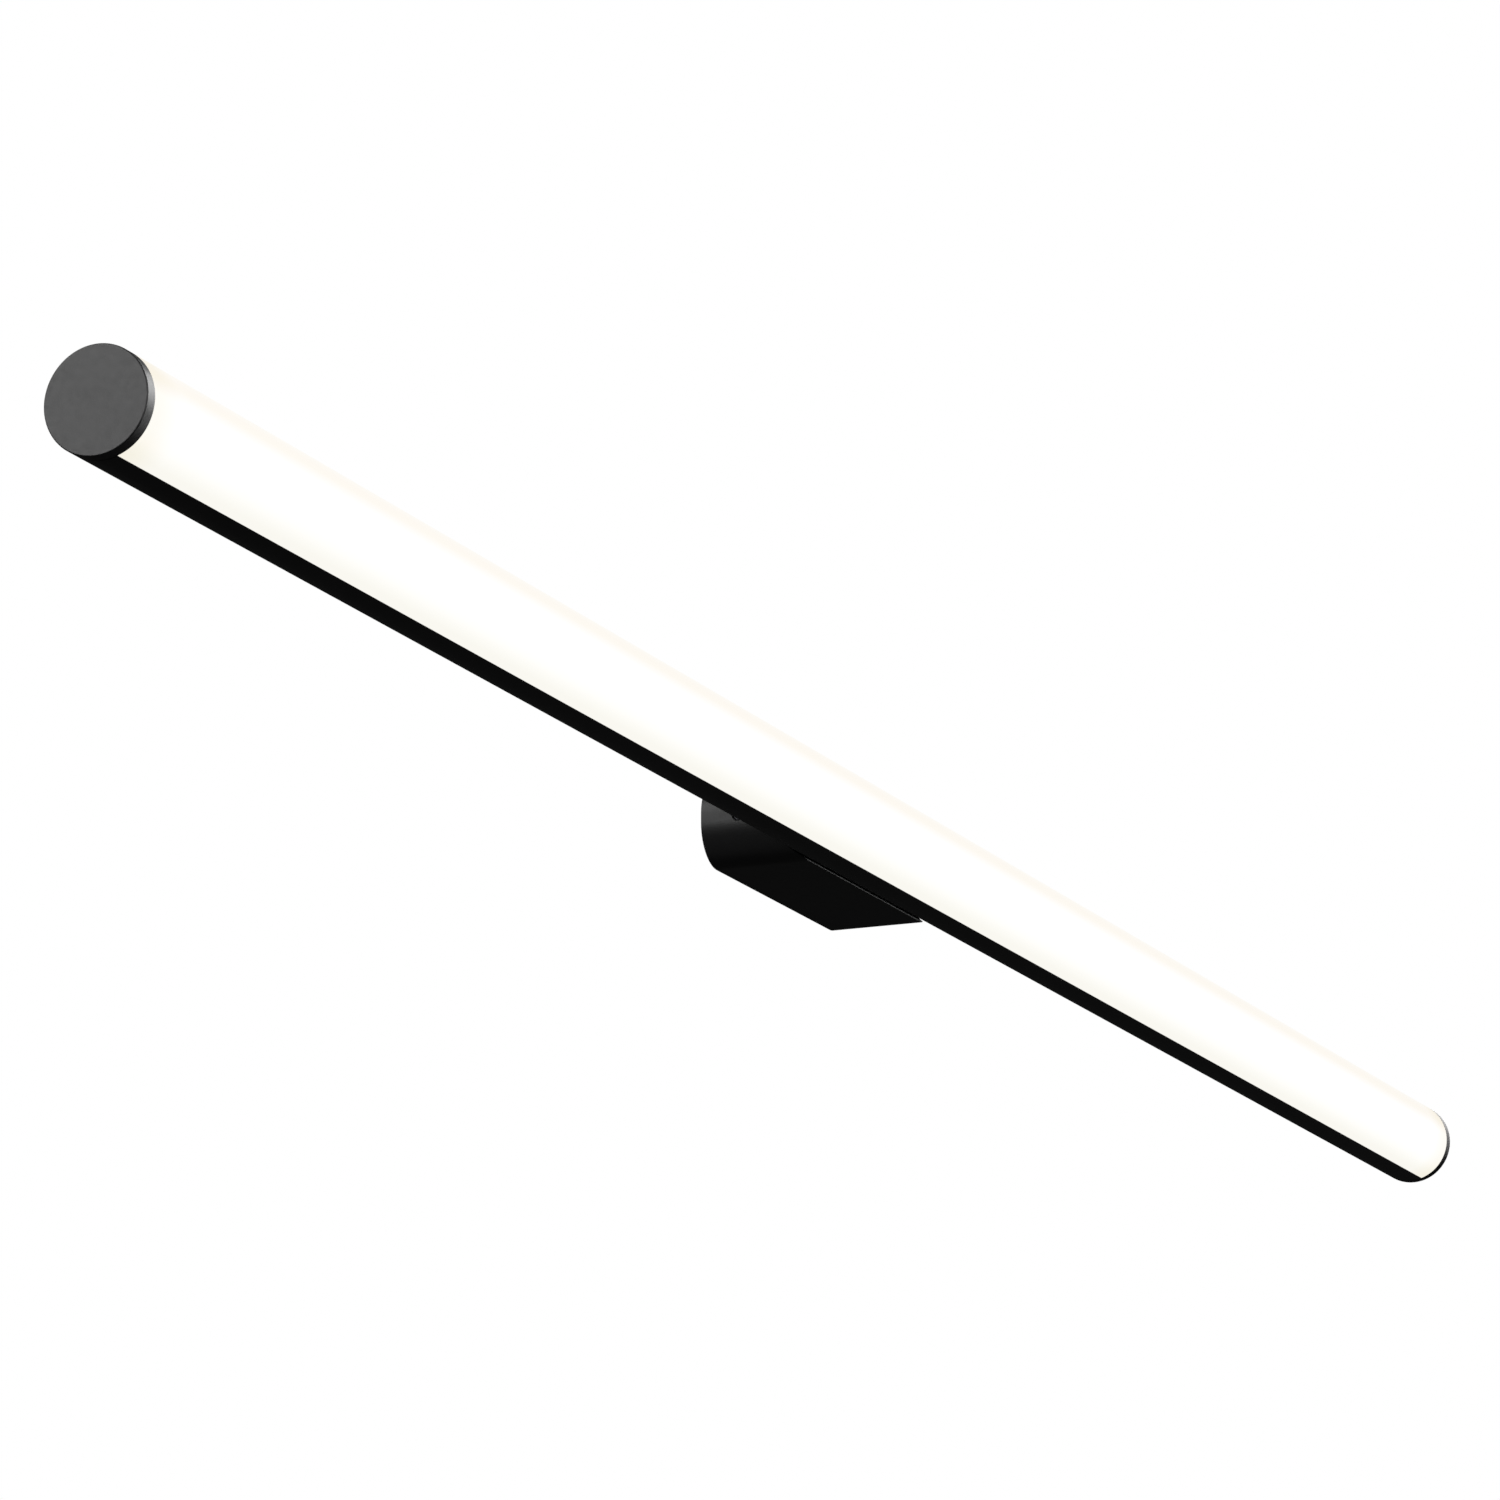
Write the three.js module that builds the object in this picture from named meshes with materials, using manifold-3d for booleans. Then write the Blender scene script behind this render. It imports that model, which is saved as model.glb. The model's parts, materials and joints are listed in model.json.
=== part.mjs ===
/*
 * Tubular LED vanity light bar, held off the wall by a small central canopy.
 *
 * Millimetres, +Z up, the bar along X. The origin is the middle of the bracket's wall face: the
 * wall is the plane y = 0 and the light stands out from it along -Y. Inside the exported group
 * every piece is drawn from the bar's own axis, so there the wall is at y = barStandOff.
 */
import * as THREE from 'three';
import { mergeVertices } from 'three/addons/utils/BufferGeometryUtils.js';
import Module from 'manifold-3d';

const wasm = await Module();
wasm.setup();

const degrees = THREE.MathUtils.degToRad;

// Driving dimensions: the bar.
const gap = 0.3; // clearance between pieces that touch
const overshoot = 1; // how far a cutting tool runs past the face it cuts
const arcStep = degrees(4.5);
const barLength = 1200;
const barRadius = 16.8;
const barStandOff = 43.6; // bar axis from the wall
const wall = 1.6; // wall of the housing and of the diffuser
const capLip = 4.55; // the part of an end cap that shows
const plugDepth = 5; // the part of an end cap that goes inside
const seamAngle = degrees(72.65); // from straight ahead to the edge of the diffuser
const innerRadius = barRadius - wall;
const capInner = barLength / 2 - capLip; // inner face of a cap's lip
const profileEnd = capInner - gap;

// The snap joint between diffuser and housing, as radii and as angles from straight ahead.
const lipInner = 15.6;
const grooveInner = 16;
const grooveStart = degrees(82);
const grooveEnd = degrees(91);
const legOuter = lipInner - gap;
const legInner = 14.2;
const legRoot = degrees(67);
const beadOuter = grooveInner - gap;
const beadStart = degrees(84);
const beadEnd = degrees(88);

// What an end cap has on its inner side, as radii and depths.
const plug = { radius: legInner - 0.4, wall: 1.6 };
const lugRadius = innerRadius - 1;
const sealGroove = { outer: 16.3, inner: 14.3, depth: 1 };
const seal = { outer: sealGroove.outer - gap, inner: sealGroove.inner + gap, thickness: 0.7 };

// The floor that carries the LED boards, and the nut channel at the back of the housing.
const floorFront = 1.3;
const floorBack = floorFront + wall;
const channelHalf = 6.6;
const channelFront = 10;
const railThickness = 1.4;
const railReach = 4.2; // half the mouth between the rails' lips

// Driving dimensions: the LED boards.
const boardCount = 4;
const boardPitch = 295;
const boardHalfWidth = 10;
const boardThickness = 1.6;
const boardBack = floorFront - gap;
const boardFront = boardBack - boardThickness;
const ledsPerBoard = 24;
const ledPitch = boardPitch / ledsPerBoard;
const ledSize = { x: 2.8, y: 0.7, z: 3 };
const ledSunk = 0.2; // how deep an LED is let into its board
const boardScrewSide = 7; // height of a board screw above or below the row of LEDs
const boardScrewSize = { shank: 1.2, head: 2.2, height: 1.3, reach: 1.2 };
const boardScrewHole = boardScrewSize.shank + 0.4;
const cableHoleRadius = 4;

// The plug-on bridge between two boards, and the socket for the leads.
const linkBody = { halfLength: 7, thickness: 2.2, z0: -9, z1: -4.4 };
const linkCrown = { halfLength: 4.5, thickness: 3.2, z0: -8.2, z1: -5.2 };
const socket = { x0: 9, x1: 17, thickness: 4, z0: 3.9, z1: 9.5, depth: 3, mouth: 1 };
const socketY = boardFront - gap - socket.thickness / 2 - 0.1;
const socketPoles = { positive: 8, negative: 5.4 };

// Driving dimensions: the canopy.
const canopy = { halfLength: 66, halfHeight: 15.8, corner: 14.2, depth: 35.4, wall: 2.2 };
const canopyFront = barStandOff - canopy.depth;
const saddleRadius = barRadius + gap;
const saddleBack = saddleRadius + canopy.wall;
const barScrewX = 52;
const barScrewRadius = 1.95;
const barScrewHole = 2.3;
const barScrewHead = { radius: 3.6, height: 2.6 };
const barScrewTip = 9.4;
const washer = { radius: 4.4, thickness: 0.8 };
const nut = { halfWidth: channelHalf - 0.4, thickness: 3.2 };
const padRadius = 5;
const padBack = saddleBack + 0.9; // seat of the bar screws' washers
const leadX = 22; // where the LED leads leave the canopy for the bar
const leadHoleRadius = 5;
const leadBush = { bore: 3.2, flange: 6.4, thickness: 1.2 };
const rim = { gasket: 3, gasketWidth: 2 }; // depth and width of the foam ring

// Driving dimensions: the wall bracket and the screws that hold the canopy on it.
const plate = { halfLength: 58, halfHeight: 10.8, corner: 8, thickness: 1.5 };
const flangeReach = 17.5; // how far the bracket's ends stand out from the wall
const flangeHalfHeight = 6;
const retainingY = barStandOff - 14;
const retainingRadius = 2;
const retainingHole = retainingRadius + gap;
const retainingTip = 55.6;
const retainingSunk = 0.6; // from the canopy's end to the screw's
const retainingSocket = { radius: 1.1, depth: 2 };
const retainingBoss = { radius: 4.5, start: 60 };
const wallSlot = { x: 40, halfLength: 6, halfHeight: 2.5, corner: 2.49 };
const supplyX = 22;
const supplyHoleRadius = 6.3;
const supplyBush = { bore: 4.4, flange: supplyHoleRadius + 1.6, thickness: 1.6, lip: 0.5 };

// Driving dimensions: the driver and the terminal block in the canopy.
const driver = { x0: -46, x1: 14, y0: 21.6, y1: 36.6, halfHeight: 12, wall: 1.2 };
const driverRibs = [-34, 2];
const ribHalf = 3;
const ribHalfHeight = 20;
const padThickness = 0.7;
const padHalfHeight = 10;
const ribBack = driver.y0 - 2 * gap - padThickness;
const ledLeadExit = { y: 25.7, z: 3 };
const mainsLeadExit = { y: 31, z: 5 };
const driverRoom = 3; // free length beside the driver's board, where the leads come in
const lidTongue = { thickness: 1, depth: 2, halfHeight: 8 };
const circuitThickness = 1.2;
const core = { x0: -20, x1: -6, height: 9, halfHeight: 4 };
const bobbin = { inset: 2.5, lift: 0.8, halfHeight: 8 };
const capacitor = { x0: -42, x1: -26, radius: 4.5, z: 3 };
const choke = { x: -1, z: -5, radius: 3.8, height: 7 };
const terminal = { x0: 29, x1: 45, y0: 21.6, y1: 33.6, halfHeight: 9, screwX: 37 };
const pole = { y: 27.4, bore: 1.6, screwBore: 2, screwFloor: 28.6 };
const poleScrew = { radius: 1.7, low: 29.3, sunk: 0.8, slotDepth: 0.8, slotHalf: 0.3 };
const entryGroove = { depth: 3.5, z: 1.9, half: 0.6 };
const fixingScrew = { hole: 1.8, shank: 1.5, head: 2.8, height: 1.7, reach: 2.9 };
const terminalBossRadius = 3.2;
const leadRadius = 0.8;
const leadSides = 8;

const finishes = {
  blackPaint: { color: 0x0d0d0e, roughness: 0.42, metalness: 0.2 },
  opal: { color: 0xfffaf0, roughness: 0.35, metalness: 0 },
  blackRubber: { color: 0x141414, roughness: 0.8, metalness: 0 },
  greyFoam: { color: 0x3a3b3d, roughness: 0.95, metalness: 0 },
  boardWhite: { color: 0xf2f2ee, roughness: 0.4, metalness: 0 },
  boardGreen: { color: 0x1d5b35, roughness: 0.45, metalness: 0 },
  connectorWhite: { color: 0xe8e6de, roughness: 0.4, metalness: 0 },
  zincSteel: { color: 0xb9bcc0, roughness: 0.35, metalness: 1 },
  blackOxide: { color: 0x1a1a1c, roughness: 0.45, metalness: 0.9 },
  driverWhite: { color: 0xe4e4e2, roughness: 0.5, metalness: 0 },
  transformerYellow: { color: 0xc9a227, roughness: 0.5, metalness: 0 },
  capacitorBlack: { color: 0x1b1d22, roughness: 0.35, metalness: 0 },
  terminalNatural: { color: 0xdcd8c8, roughness: 0.45, metalness: 0 },
  leadRed: { color: 0xa81414, roughness: 0.45, metalness: 0 },
  leadBlack: { color: 0x151515, roughness: 0.45, metalness: 0 },
  leadBrown: { color: 0x5a3219, roughness: 0.45, metalness: 0 },
  leadBlue: { color: 0x1c4f9c, roughness: 0.45, metalness: 0 },
};

// ---------------------------------------------------------------- solids

/** A closed three.js geometry as a manifold that can be joined and cut. */
function toManifold(geometry) {
  geometry.deleteAttribute('normal');
  geometry.deleteAttribute('uv');
  const merged = mergeVertices(geometry, 1e-4);
  return new wasm.Manifold(new wasm.Mesh({
    numProp: 3,
    vertProperties: new Float32Array(merged.attributes.position.array),
    triVerts: new Uint32Array(merged.index.array),
  }));
}

function toGeometry(manifold) {
  const mesh = manifold.getMesh();
  const geometry = new THREE.BufferGeometry();
  geometry.setAttribute('position', new THREE.BufferAttribute(mesh.vertProperties, 3));
  geometry.setIndex(new THREE.BufferAttribute(mesh.triVerts, 1));
  geometry.computeVertexNormals();
  return geometry;
}

function join(first, ...others) {
  return others.reduce((sum, other) => sum.add(other), first);
}

function cut(solid, ...tools) {
  return tools.reduce((rest, tool) => rest.subtract(tool), solid);
}

function block(x0, x1, y0, y1, z0, z1) {
  const box = new THREE.BoxGeometry(x1 - x0, y1 - y0, z1 - z0);
  return toManifold(box.translate((x0 + x1) / 2, (y0 + y1) / 2, (z0 + z1) / 2));
}

function rodAlongX(radius, x0, x1, y = 0, z = 0, sides = 24) {
  const rod = new THREE.CylinderGeometry(radius, radius, x1 - x0, sides);
  return toManifold(rod.rotateZ(Math.PI / 2).translate((x0 + x1) / 2, y, z));
}

function rodAlongY(radius, y0, y1, x = 0, z = 0, sides = 24) {
  const rod = new THREE.CylinderGeometry(radius, radius, y1 - y0, sides);
  return toManifold(rod.translate(x, (y0 + y1) / 2, z));
}

/** A shape drawn in (y, z), extruded along X. */
function prismAlongX(shape, x0, x1) {
  const solid = new THREE.ExtrudeGeometry(shape, { depth: x1 - x0, bevelEnabled: false });
  const turn = new THREE.Matrix4().makeBasis(
    new THREE.Vector3(0, 1, 0), new THREE.Vector3(0, 0, 1), new THREE.Vector3(1, 0, 0));
  return toManifold(solid.applyMatrix4(turn).translate(x0, 0, 0));
}

/** A shape drawn in (x, z), extruded along Y. */
function prismAlongY(shape, y0, y1, curveSegments = 6) {
  const options = { depth: y1 - y0, bevelEnabled: false, curveSegments };
  const solid = new THREE.ExtrudeGeometry(shape, options);
  return toManifold(solid.rotateX(Math.PI / 2).translate(0, y1, 0));
}

/** Two distances from the bar's middle as an X span at its right end (1) or left end (-1). */
function spanAt(end, near, far) {
  return end > 0 ? [near, far] : [-far, -near];
}

// ---------------------------------------------------------------- outlines

/** A point of the bar's section, by radius and by angle from straight ahead (-Y) towards +Z. */
function polar(radius, angle) {
  return new THREE.Vector2(-radius * Math.cos(angle), radius * Math.sin(angle));
}

function arc(radius, from, to) {
  const steps = Math.max(1, Math.round(Math.abs(to - from) / arcStep));
  return Array.from({ length: steps + 1 }, (_, i) => polar(radius, from + ((to - from) * i) / steps));
}

/** The upper half of an outline, closed by its mirror image below. */
function closedByMirror(upper) {
  const lower = upper.filter((p) => Math.abs(p.y) > 1e-6).reverse();
  return new THREE.Shape([...upper, ...lower.map((p) => new THREE.Vector2(p.x, -p.y))]);
}

/** Angle at which a circle about the bar's axis reaches a depth y behind it. */
function angleAtDepth(radius, y) {
  return Math.acos(-y / radius);
}

/** Angle at which a circle about the bar's axis comes in to a height z at the back. */
function angleAtHeight(radius, z) {
  return Math.PI - Math.asin(z / radius);
}

function roundedRectangle(halfX, halfZ, corner, middleX = 0) {
  const x0 = middleX - halfX + corner;
  const x1 = middleX + halfX - corner;
  const z = halfZ - corner;
  const shape = new THREE.Shape();
  shape.absarc(x1, z, corner, 0, Math.PI / 2);
  shape.absarc(x0, z, corner, Math.PI / 2, Math.PI);
  shape.absarc(x0, -z, corner, Math.PI, 1.5 * Math.PI);
  shape.absarc(x1, -z, corner, 1.5 * Math.PI, 2 * Math.PI);
  return shape;
}

// ---------------------------------------------------------------- the bar

/** The housing's section: a round back, a floor for the boards and a closed rear chamber. */
function housingSection() {
  const section = closedByMirror([
    ...arc(barRadius, Math.PI, seamAngle),
    ...arc(lipInner, seamAngle, grooveStart),
    ...arc(grooveInner, grooveStart, grooveEnd),
    ...arc(innerRadius, grooveEnd, angleAtDepth(innerRadius, floorFront)),
  ]);
  const railOuter = channelHalf + railThickness;
  const railFront = channelFront - railThickness;
  const chamber = closedByMirror([
    ...arc(innerRadius, Math.PI, angleAtHeight(innerRadius, channelHalf)),
    new THREE.Vector2(channelFront, channelHalf),
    new THREE.Vector2(channelFront, railReach),
    new THREE.Vector2(railFront, railReach),
    new THREE.Vector2(railFront, railOuter),
    ...arc(innerRadius, angleAtHeight(innerRadius, railOuter), angleAtDepth(innerRadius, floorBack)),
  ]);
  section.holes = [chamber];
  return section;
}

/** Where the screws of one LED board stand, as [x, z]. */
function boardScrewPlaces(board) {
  const start = (board - boardCount / 2) * boardPitch;
  const inset = 2 * ledPitch;
  return [[start + inset, boardScrewSide], [start + boardPitch - inset, -boardScrewSide]];
}

const floorCut = [floorFront - overshoot, floorBack + overshoot];

function housingProfile() {
  const boards = Array.from({ length: boardCount }, (_, board) => board);
  const screwHoles = boards.flatMap(boardScrewPlaces)
    .map(([x, z]) => rodAlongY(boardScrewHole, ...floorCut, x, z, 12));
  const back = barRadius + overshoot;
  return cut(
    prismAlongX(housingSection(), -profileEnd, profileEnd),
    ...screwHoles,
    rodAlongY(cableHoleRadius, ...floorCut),
    rodAlongY(leadHoleRadius, channelFront - railThickness - overshoot, back, leadX),
    rodAlongY(barScrewHole, innerRadius - wall, back, -barScrewX, 0, 16),
    rodAlongY(barScrewHole, innerRadius - wall, back, barScrewX, 0, 16),
  );
}

/** The opal cover: an arc with a leg at each edge whose bead snaps behind the housing's lip. */
function diffuser() {
  const shoulder = seamAngle - gap / barRadius;
  const section = closedByMirror([
    ...arc(barRadius, 0, shoulder),
    ...arc(legOuter, shoulder, beadStart),
    ...arc(beadOuter, beadStart, beadEnd),
    ...arc(legInner, beadEnd, legRoot),
    ...arc(innerRadius, legRoot, 0),
  ]);
  return prismAlongX(section, -profileEnd, profileEnd);
}

/** A D-shaped outline: a circle about the bar's axis, cut off flat at a depth behind it. */
function dOutline(radius, backY) {
  return closedByMirror(arc(radius, 0, angleAtDepth(radius, backY)));
}

/** A round cap whose plug fills the diffuser's space, with a lug in each side of the chamber. */
function endCap(end) {
  const plugSpan = spanAt(end, capInner - plugDepth, capInner + 2 * sealGroove.depth);
  const plugBack = floorFront - gap;
  const hollowPlug = cut(
    prismAlongX(dOutline(plug.radius, plugBack), ...plugSpan),
    prismAlongX(dOutline(plug.radius - plug.wall, plugBack - plug.wall),
      ...spanAt(end, capInner - plugDepth - overshoot, capInner + sealGroove.depth)),
  );
  const lugFront = floorBack + gap;
  const lugInner = channelHalf + railThickness + gap;
  const lug = (side) => prismAlongX(new THREE.Shape([
    new THREE.Vector2(lugFront, side * lugInner),
    ...arc(lugRadius, angleAtDepth(lugRadius, lugFront), angleAtHeight(lugRadius, lugInner))
      .map((p) => new THREE.Vector2(p.x, side * p.y)),
  ]), ...plugSpan);
  const { outer, inner, depth } = sealGroove;
  const groove = cut(
    rodAlongX(outer, ...spanAt(end, capInner - overshoot, capInner + depth), 0, 0, 36),
    rodAlongX(inner, ...spanAt(end, capInner - 2 * overshoot, capInner + 2 * depth), 0, 0, 36),
  );
  const disc = rodAlongX(barRadius, ...spanAt(end, capInner, barLength / 2), 0, 0, 72);
  return join(cut(disc, groove), hollowPlug, lug(1), lug(-1));
}

/** The silicone ring that lies in a cap's groove, against the end of the profile. */
function endSeal(end) {
  return cut(
    rodAlongX(seal.outer, ...spanAt(end, capInner, capInner + seal.thickness), 0, 0, 36),
    rodAlongX(seal.inner, ...spanAt(end, capInner - overshoot, capInner + 2 * overshoot), 0, 0, 36),
  );
}

function ledBoard(board) {
  const start = (board - boardCount / 2) * boardPitch;
  const base = block(start + gap, start + boardPitch - gap, boardFront, boardBack,
    -boardHalfWidth, boardHalfWidth);
  const leds = Array.from({ length: ledsPerBoard }, (_, i) => {
    const x = start + (i + 0.5) * ledPitch;
    return block(x - ledSize.x / 2, x + ledSize.x / 2, boardFront - ledSize.y, boardFront + ledSunk,
      -ledSize.z / 2, ledSize.z / 2);
  });
  const through = [boardFront - overshoot, boardBack + overshoot];
  const holes = boardScrewPlaces(board)
    .map(([x, z]) => rodAlongY(boardScrewHole, ...through, x, z, 12));
  const cableHole = rodAlongY(cableHoleRadius, ...through);
  return cut(join(base, ...leds), ...holes, cableHole);
}

/** A screw along Y whose head is on its low-y side (-1) or high-y side (1), with a cross slot. */
function screwAlongY({ x, z = 0, seat, tip, shank, head, height, side }) {
  const top = seat + side * height;
  const low = Math.min(seat, top);
  const slotDepth = 0.45 * height;
  const slotLow = side > 0 ? top - slotDepth : top - overshoot;
  const slotHigh = side > 0 ? top + overshoot : top + slotDepth;
  const reach = 0.6 * head;
  const half = 0.14 * head;
  const root = seat + side * 0.2 * height; // the shank starts a little inside the head
  return cut(
    join(
      rodAlongY(head, low, low + height, x, z, 18),
      rodAlongY(shank, Math.min(root, tip), Math.max(root, tip), x, z, 12),
    ),
    block(x - reach, x + reach, slotLow, slotHigh, z - half, z + half),
    block(x - half, x + half, slotLow, slotHigh, z - reach, z + reach),
  );
}

function boardScrew([x, z]) {
  const { reach, ...size } = boardScrewSize;
  return screwAlongY({ x, z, seat: boardFront - gap, tip: floorBack + reach, side: -1, ...size });
}

/** The plug-on bridge that carries current from one board to the next. */
function boardLink(x) {
  const back = boardFront - gap;
  const part = ({ halfLength, thickness, z0, z1 }) =>
    block(x - halfLength, x + halfLength, back - thickness, back, z0, z1);
  return join(part(linkBody), part(linkCrown));
}

/** The socket on the board just right of the middle, where the LED leads end. */
function inputConnector() {
  const back = boardFront - gap;
  const { x0, x1, thickness, z0, z1, depth, mouth } = socket;
  const body = block(x0, x1, back - thickness, back, z0, z1);
  const cavities = Object.values(socketPoles)
    .map((z) => rodAlongX(mouth, x0 - overshoot, x0 + depth, socketY, z, 8));
  return cut(body, ...cavities);
}

/** A round insulated lead along a smooth curve through the given points. */
function lead(points) {
  const curve = new THREE.CatmullRomCurve3(points.map((p) => new THREE.Vector3(...p)));
  const section = new THREE.Shape(new THREE.Path().absarc(0, 0, leadRadius, 0, 2 * Math.PI)
    .getSpacedPoints(leadSides).slice(0, leadSides));
  const options = { steps: 2 * points.length, extrudePath: curve };
  return toManifold(new THREE.ExtrudeGeometry(section, options));
}

/** An LED lead: out of the driver, through the grommet, along the chamber and to the socket. */
function ledLead(side, socketZ) {
  const x = 1.3 * side; // the two leads lie side by side
  const chamberY = 6.5 - 1.5 * side;
  return lead([
    [driver.x1 - 2.4, ledLeadExit.y, ledLeadExit.z * side],
    [driver.x1 + 1, ledLeadExit.y, ledLeadExit.z * side],
    [leadX - 3 + x, ledLeadExit.y - 0.8, 2.2 * side],
    [leadX - 0.4 + x, ledLeadExit.y - 4.4, 0.6 * side],
    [leadX + x, 17.5, 0],
    [leadX + x, 14, 0],
    [leadX - 1.6 + x, chamberY + 2.6, 0],
    [leadX - 6 + x, chamberY, 0],
    [6 + x, chamberY, 0],
    [1.5 + x, chamberY - 1.4, 0],
    [x, 1.4, 0],
    [x, -0.9, 0.3],
    [x + 0.6, socketY, 2.6 - 0.8 * side],
    [3.4 + x, socketY, socketZ - 0.6],
    [socket.x0 - gap, socketY, socketZ],
  ]);
}

// ---------------------------------------------------------------- bar to canopy

function barScrew(x) {
  const seat = padBack + 2 * gap + washer.thickness;
  const { radius: head, height } = barScrewHead;
  return screwAlongY({ x, seat, tip: barScrewTip, shank: barScrewRadius, head, height, side: 1 });
}

function barWasher(x) {
  const y0 = padBack + gap;
  const y1 = y0 + washer.thickness;
  return cut(rodAlongY(washer.radius, y0, y1, x),
    rodAlongY(barScrewHole, y0 - overshoot, y1 + overshoot, x, 0, 16));
}

/** The square nut that slides in the housing's channel. */
function channelNut(x) {
  const half = nut.halfWidth;
  const y0 = channelFront + gap;
  const y1 = y0 + nut.thickness;
  return cut(block(x - half, x + half, y0, y1, -half, half),
    rodAlongY(barScrewHole, y0 - overshoot, y1 + overshoot, x, 0, 16));
}

/** The bush that lines the leads' way from canopy to bar, with a flange inside the canopy. */
function leadGrommet() {
  const flange = saddleBack + gap;
  const { bore, flange: flangeRadius, thickness } = leadBush;
  return cut(
    join(
      rodAlongY(leadHoleRadius - gap, innerRadius - wall, flange + thickness / 2, leadX),
      rodAlongY(flangeRadius, flange, flange + thickness, leadX),
    ),
    rodAlongY(bore, innerRadius - 2 * wall, flange + thickness + overshoot, leadX),
  );
}

// ---------------------------------------------------------------- the canopy

/** Everything in the canopy's hollow that belongs to the cover: ribs, pads and screw bosses. */
function coverInnards() {
  const ribs = driverRibs.map((x) =>
    block(x - ribHalf, x + ribHalf, canopyFront, ribBack, -ribHalfHeight, ribHalfHeight));
  const pads = [-barScrewX, barScrewX].map((x) => rodAlongY(padRadius, canopyFront, padBack, x));
  const terminalBoss = rodAlongY(
    terminalBossRadius, canopyFront, terminal.y0 - gap, terminal.screwX);
  const { radius, start } = retainingBoss;
  const bosses = [1, -1].map((end) =>
    rodAlongX(radius, ...spanAt(end, start, canopy.halfLength), retainingY));
  return [...ribs, ...pads, terminalBoss, ...bosses];
}

/** The hollow shell of the canopy, with a saddle at the front that the bar lies in. */
function canopyCover() {
  const { halfLength, halfHeight, corner } = canopy;
  const inset = canopy.wall;
  const outer = roundedRectangle(halfLength, halfHeight, corner);
  const inner = roundedRectangle(halfLength - inset, halfHeight - inset, corner - inset);
  const hollow = cut(
    prismAlongY(inner, canopyFront, barStandOff + overshoot, 10),
    rodAlongX(saddleBack, -halfLength, halfLength, 0, 0, 72),
    ...coverInnards(),
  );
  const screwSpan = [retainingBoss.start - overshoot, halfLength + overshoot];
  const screwHoles = [1, -1].map((end) =>
    rodAlongX(retainingHole, ...spanAt(end, ...screwSpan), retainingY, 0, 16));
  const fixingHoleStart = terminal.y0 - gap - fixingScrew.reach;
  return cut(
    prismAlongY(outer, canopyFront, barStandOff, 10),
    hollow,
    rodAlongX(saddleRadius, -halfLength - overshoot, halfLength + overshoot, 0, 0, 72),
    ...screwHoles,
    rodAlongY(leadHoleRadius, canopyFront, saddleBack + overshoot, leadX),
    rodAlongY(barScrewHole, canopyFront, padBack + overshoot, -barScrewX, 0, 16),
    rodAlongY(barScrewHole, canopyFront, padBack + overshoot, barScrewX, 0, 16),
    rodAlongY(fixingScrew.hole, fixingHoleStart, terminal.y0, terminal.screwX, 0, 12),
  );
}

/** The foam ring inside the canopy's rim that meets the wall. */
function wallGasket() {
  const { halfLength, halfHeight, corner } = canopy;
  const ring = (inset) => roundedRectangle(halfLength - inset, halfHeight - inset, corner - inset);
  const outerInset = canopy.wall + gap;
  const y0 = barStandOff - rim.gasket;
  return cut(
    prismAlongY(ring(outerInset), y0, barStandOff),
    prismAlongY(ring(outerInset + rim.gasketWidth), y0 - overshoot, barStandOff + overshoot),
  );
}

/** The headless screw in each end of the canopy, with a hexagonal socket. */
function retainingScrew(end) {
  const outer = canopy.halfLength - retainingSunk;
  const { radius, depth } = retainingSocket;
  return cut(
    rodAlongX(retainingRadius, ...spanAt(end, retainingTip, outer), retainingY, 0, 20),
    rodAlongX(radius, ...spanAt(end, outer - depth, outer + overshoot), retainingY, 0, 6),
  );
}

// ---------------------------------------------------------------- the wall bracket

/** A pressed plate with an upturned end at each side, notched for the retaining screws. */
function wallBracket() {
  const y0 = barStandOff - plate.thickness;
  const base = prismAlongY(
    roundedRectangle(plate.halfLength, plate.halfHeight, plate.corner), y0, barStandOff);
  const front = barStandOff - flangeReach;
  const flange = (end) => {
    const span = spanAt(end, plate.halfLength - plate.thickness, plate.halfLength);
    const cutSpan = spanAt(end, plate.halfLength - 2 * plate.thickness, plate.halfLength + overshoot);
    const root = barStandOff - plate.thickness / 4;
    return cut(
      block(...span, front, root, -flangeHalfHeight, flangeHalfHeight),
      block(...cutSpan, front - overshoot, retainingY, -retainingHole, retainingHole),
      rodAlongX(retainingHole, ...cutSpan, retainingY, 0, 16),
    );
  };
  const through = [y0 - overshoot, barStandOff + overshoot];
  const slot = (x) => prismAlongY(
    roundedRectangle(wallSlot.halfLength, wallSlot.halfHeight, wallSlot.corner, x), ...through, 4);
  const cableHole = rodAlongY(supplyHoleRadius, ...through, supplyX);
  return cut(join(base, flange(1), flange(-1)), slot(wallSlot.x), slot(-wallSlot.x), cableHole);
}

/** The bush in the bracket that the house's supply cable comes through. */
function supplyGrommet() {
  const y0 = barStandOff - plate.thickness - gap;
  const { bore, flange, thickness, lip } = supplyBush;
  return cut(
    join(
      rodAlongY(supplyHoleRadius - gap, y0 - lip, barStandOff, supplyX),
      rodAlongY(flange, y0 - thickness, y0, supplyX),
    ),
    rodAlongY(bore, y0 - thickness - overshoot, barStandOff + overshoot, supplyX),
  );
}

// ---------------------------------------------------------------- the driver

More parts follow.
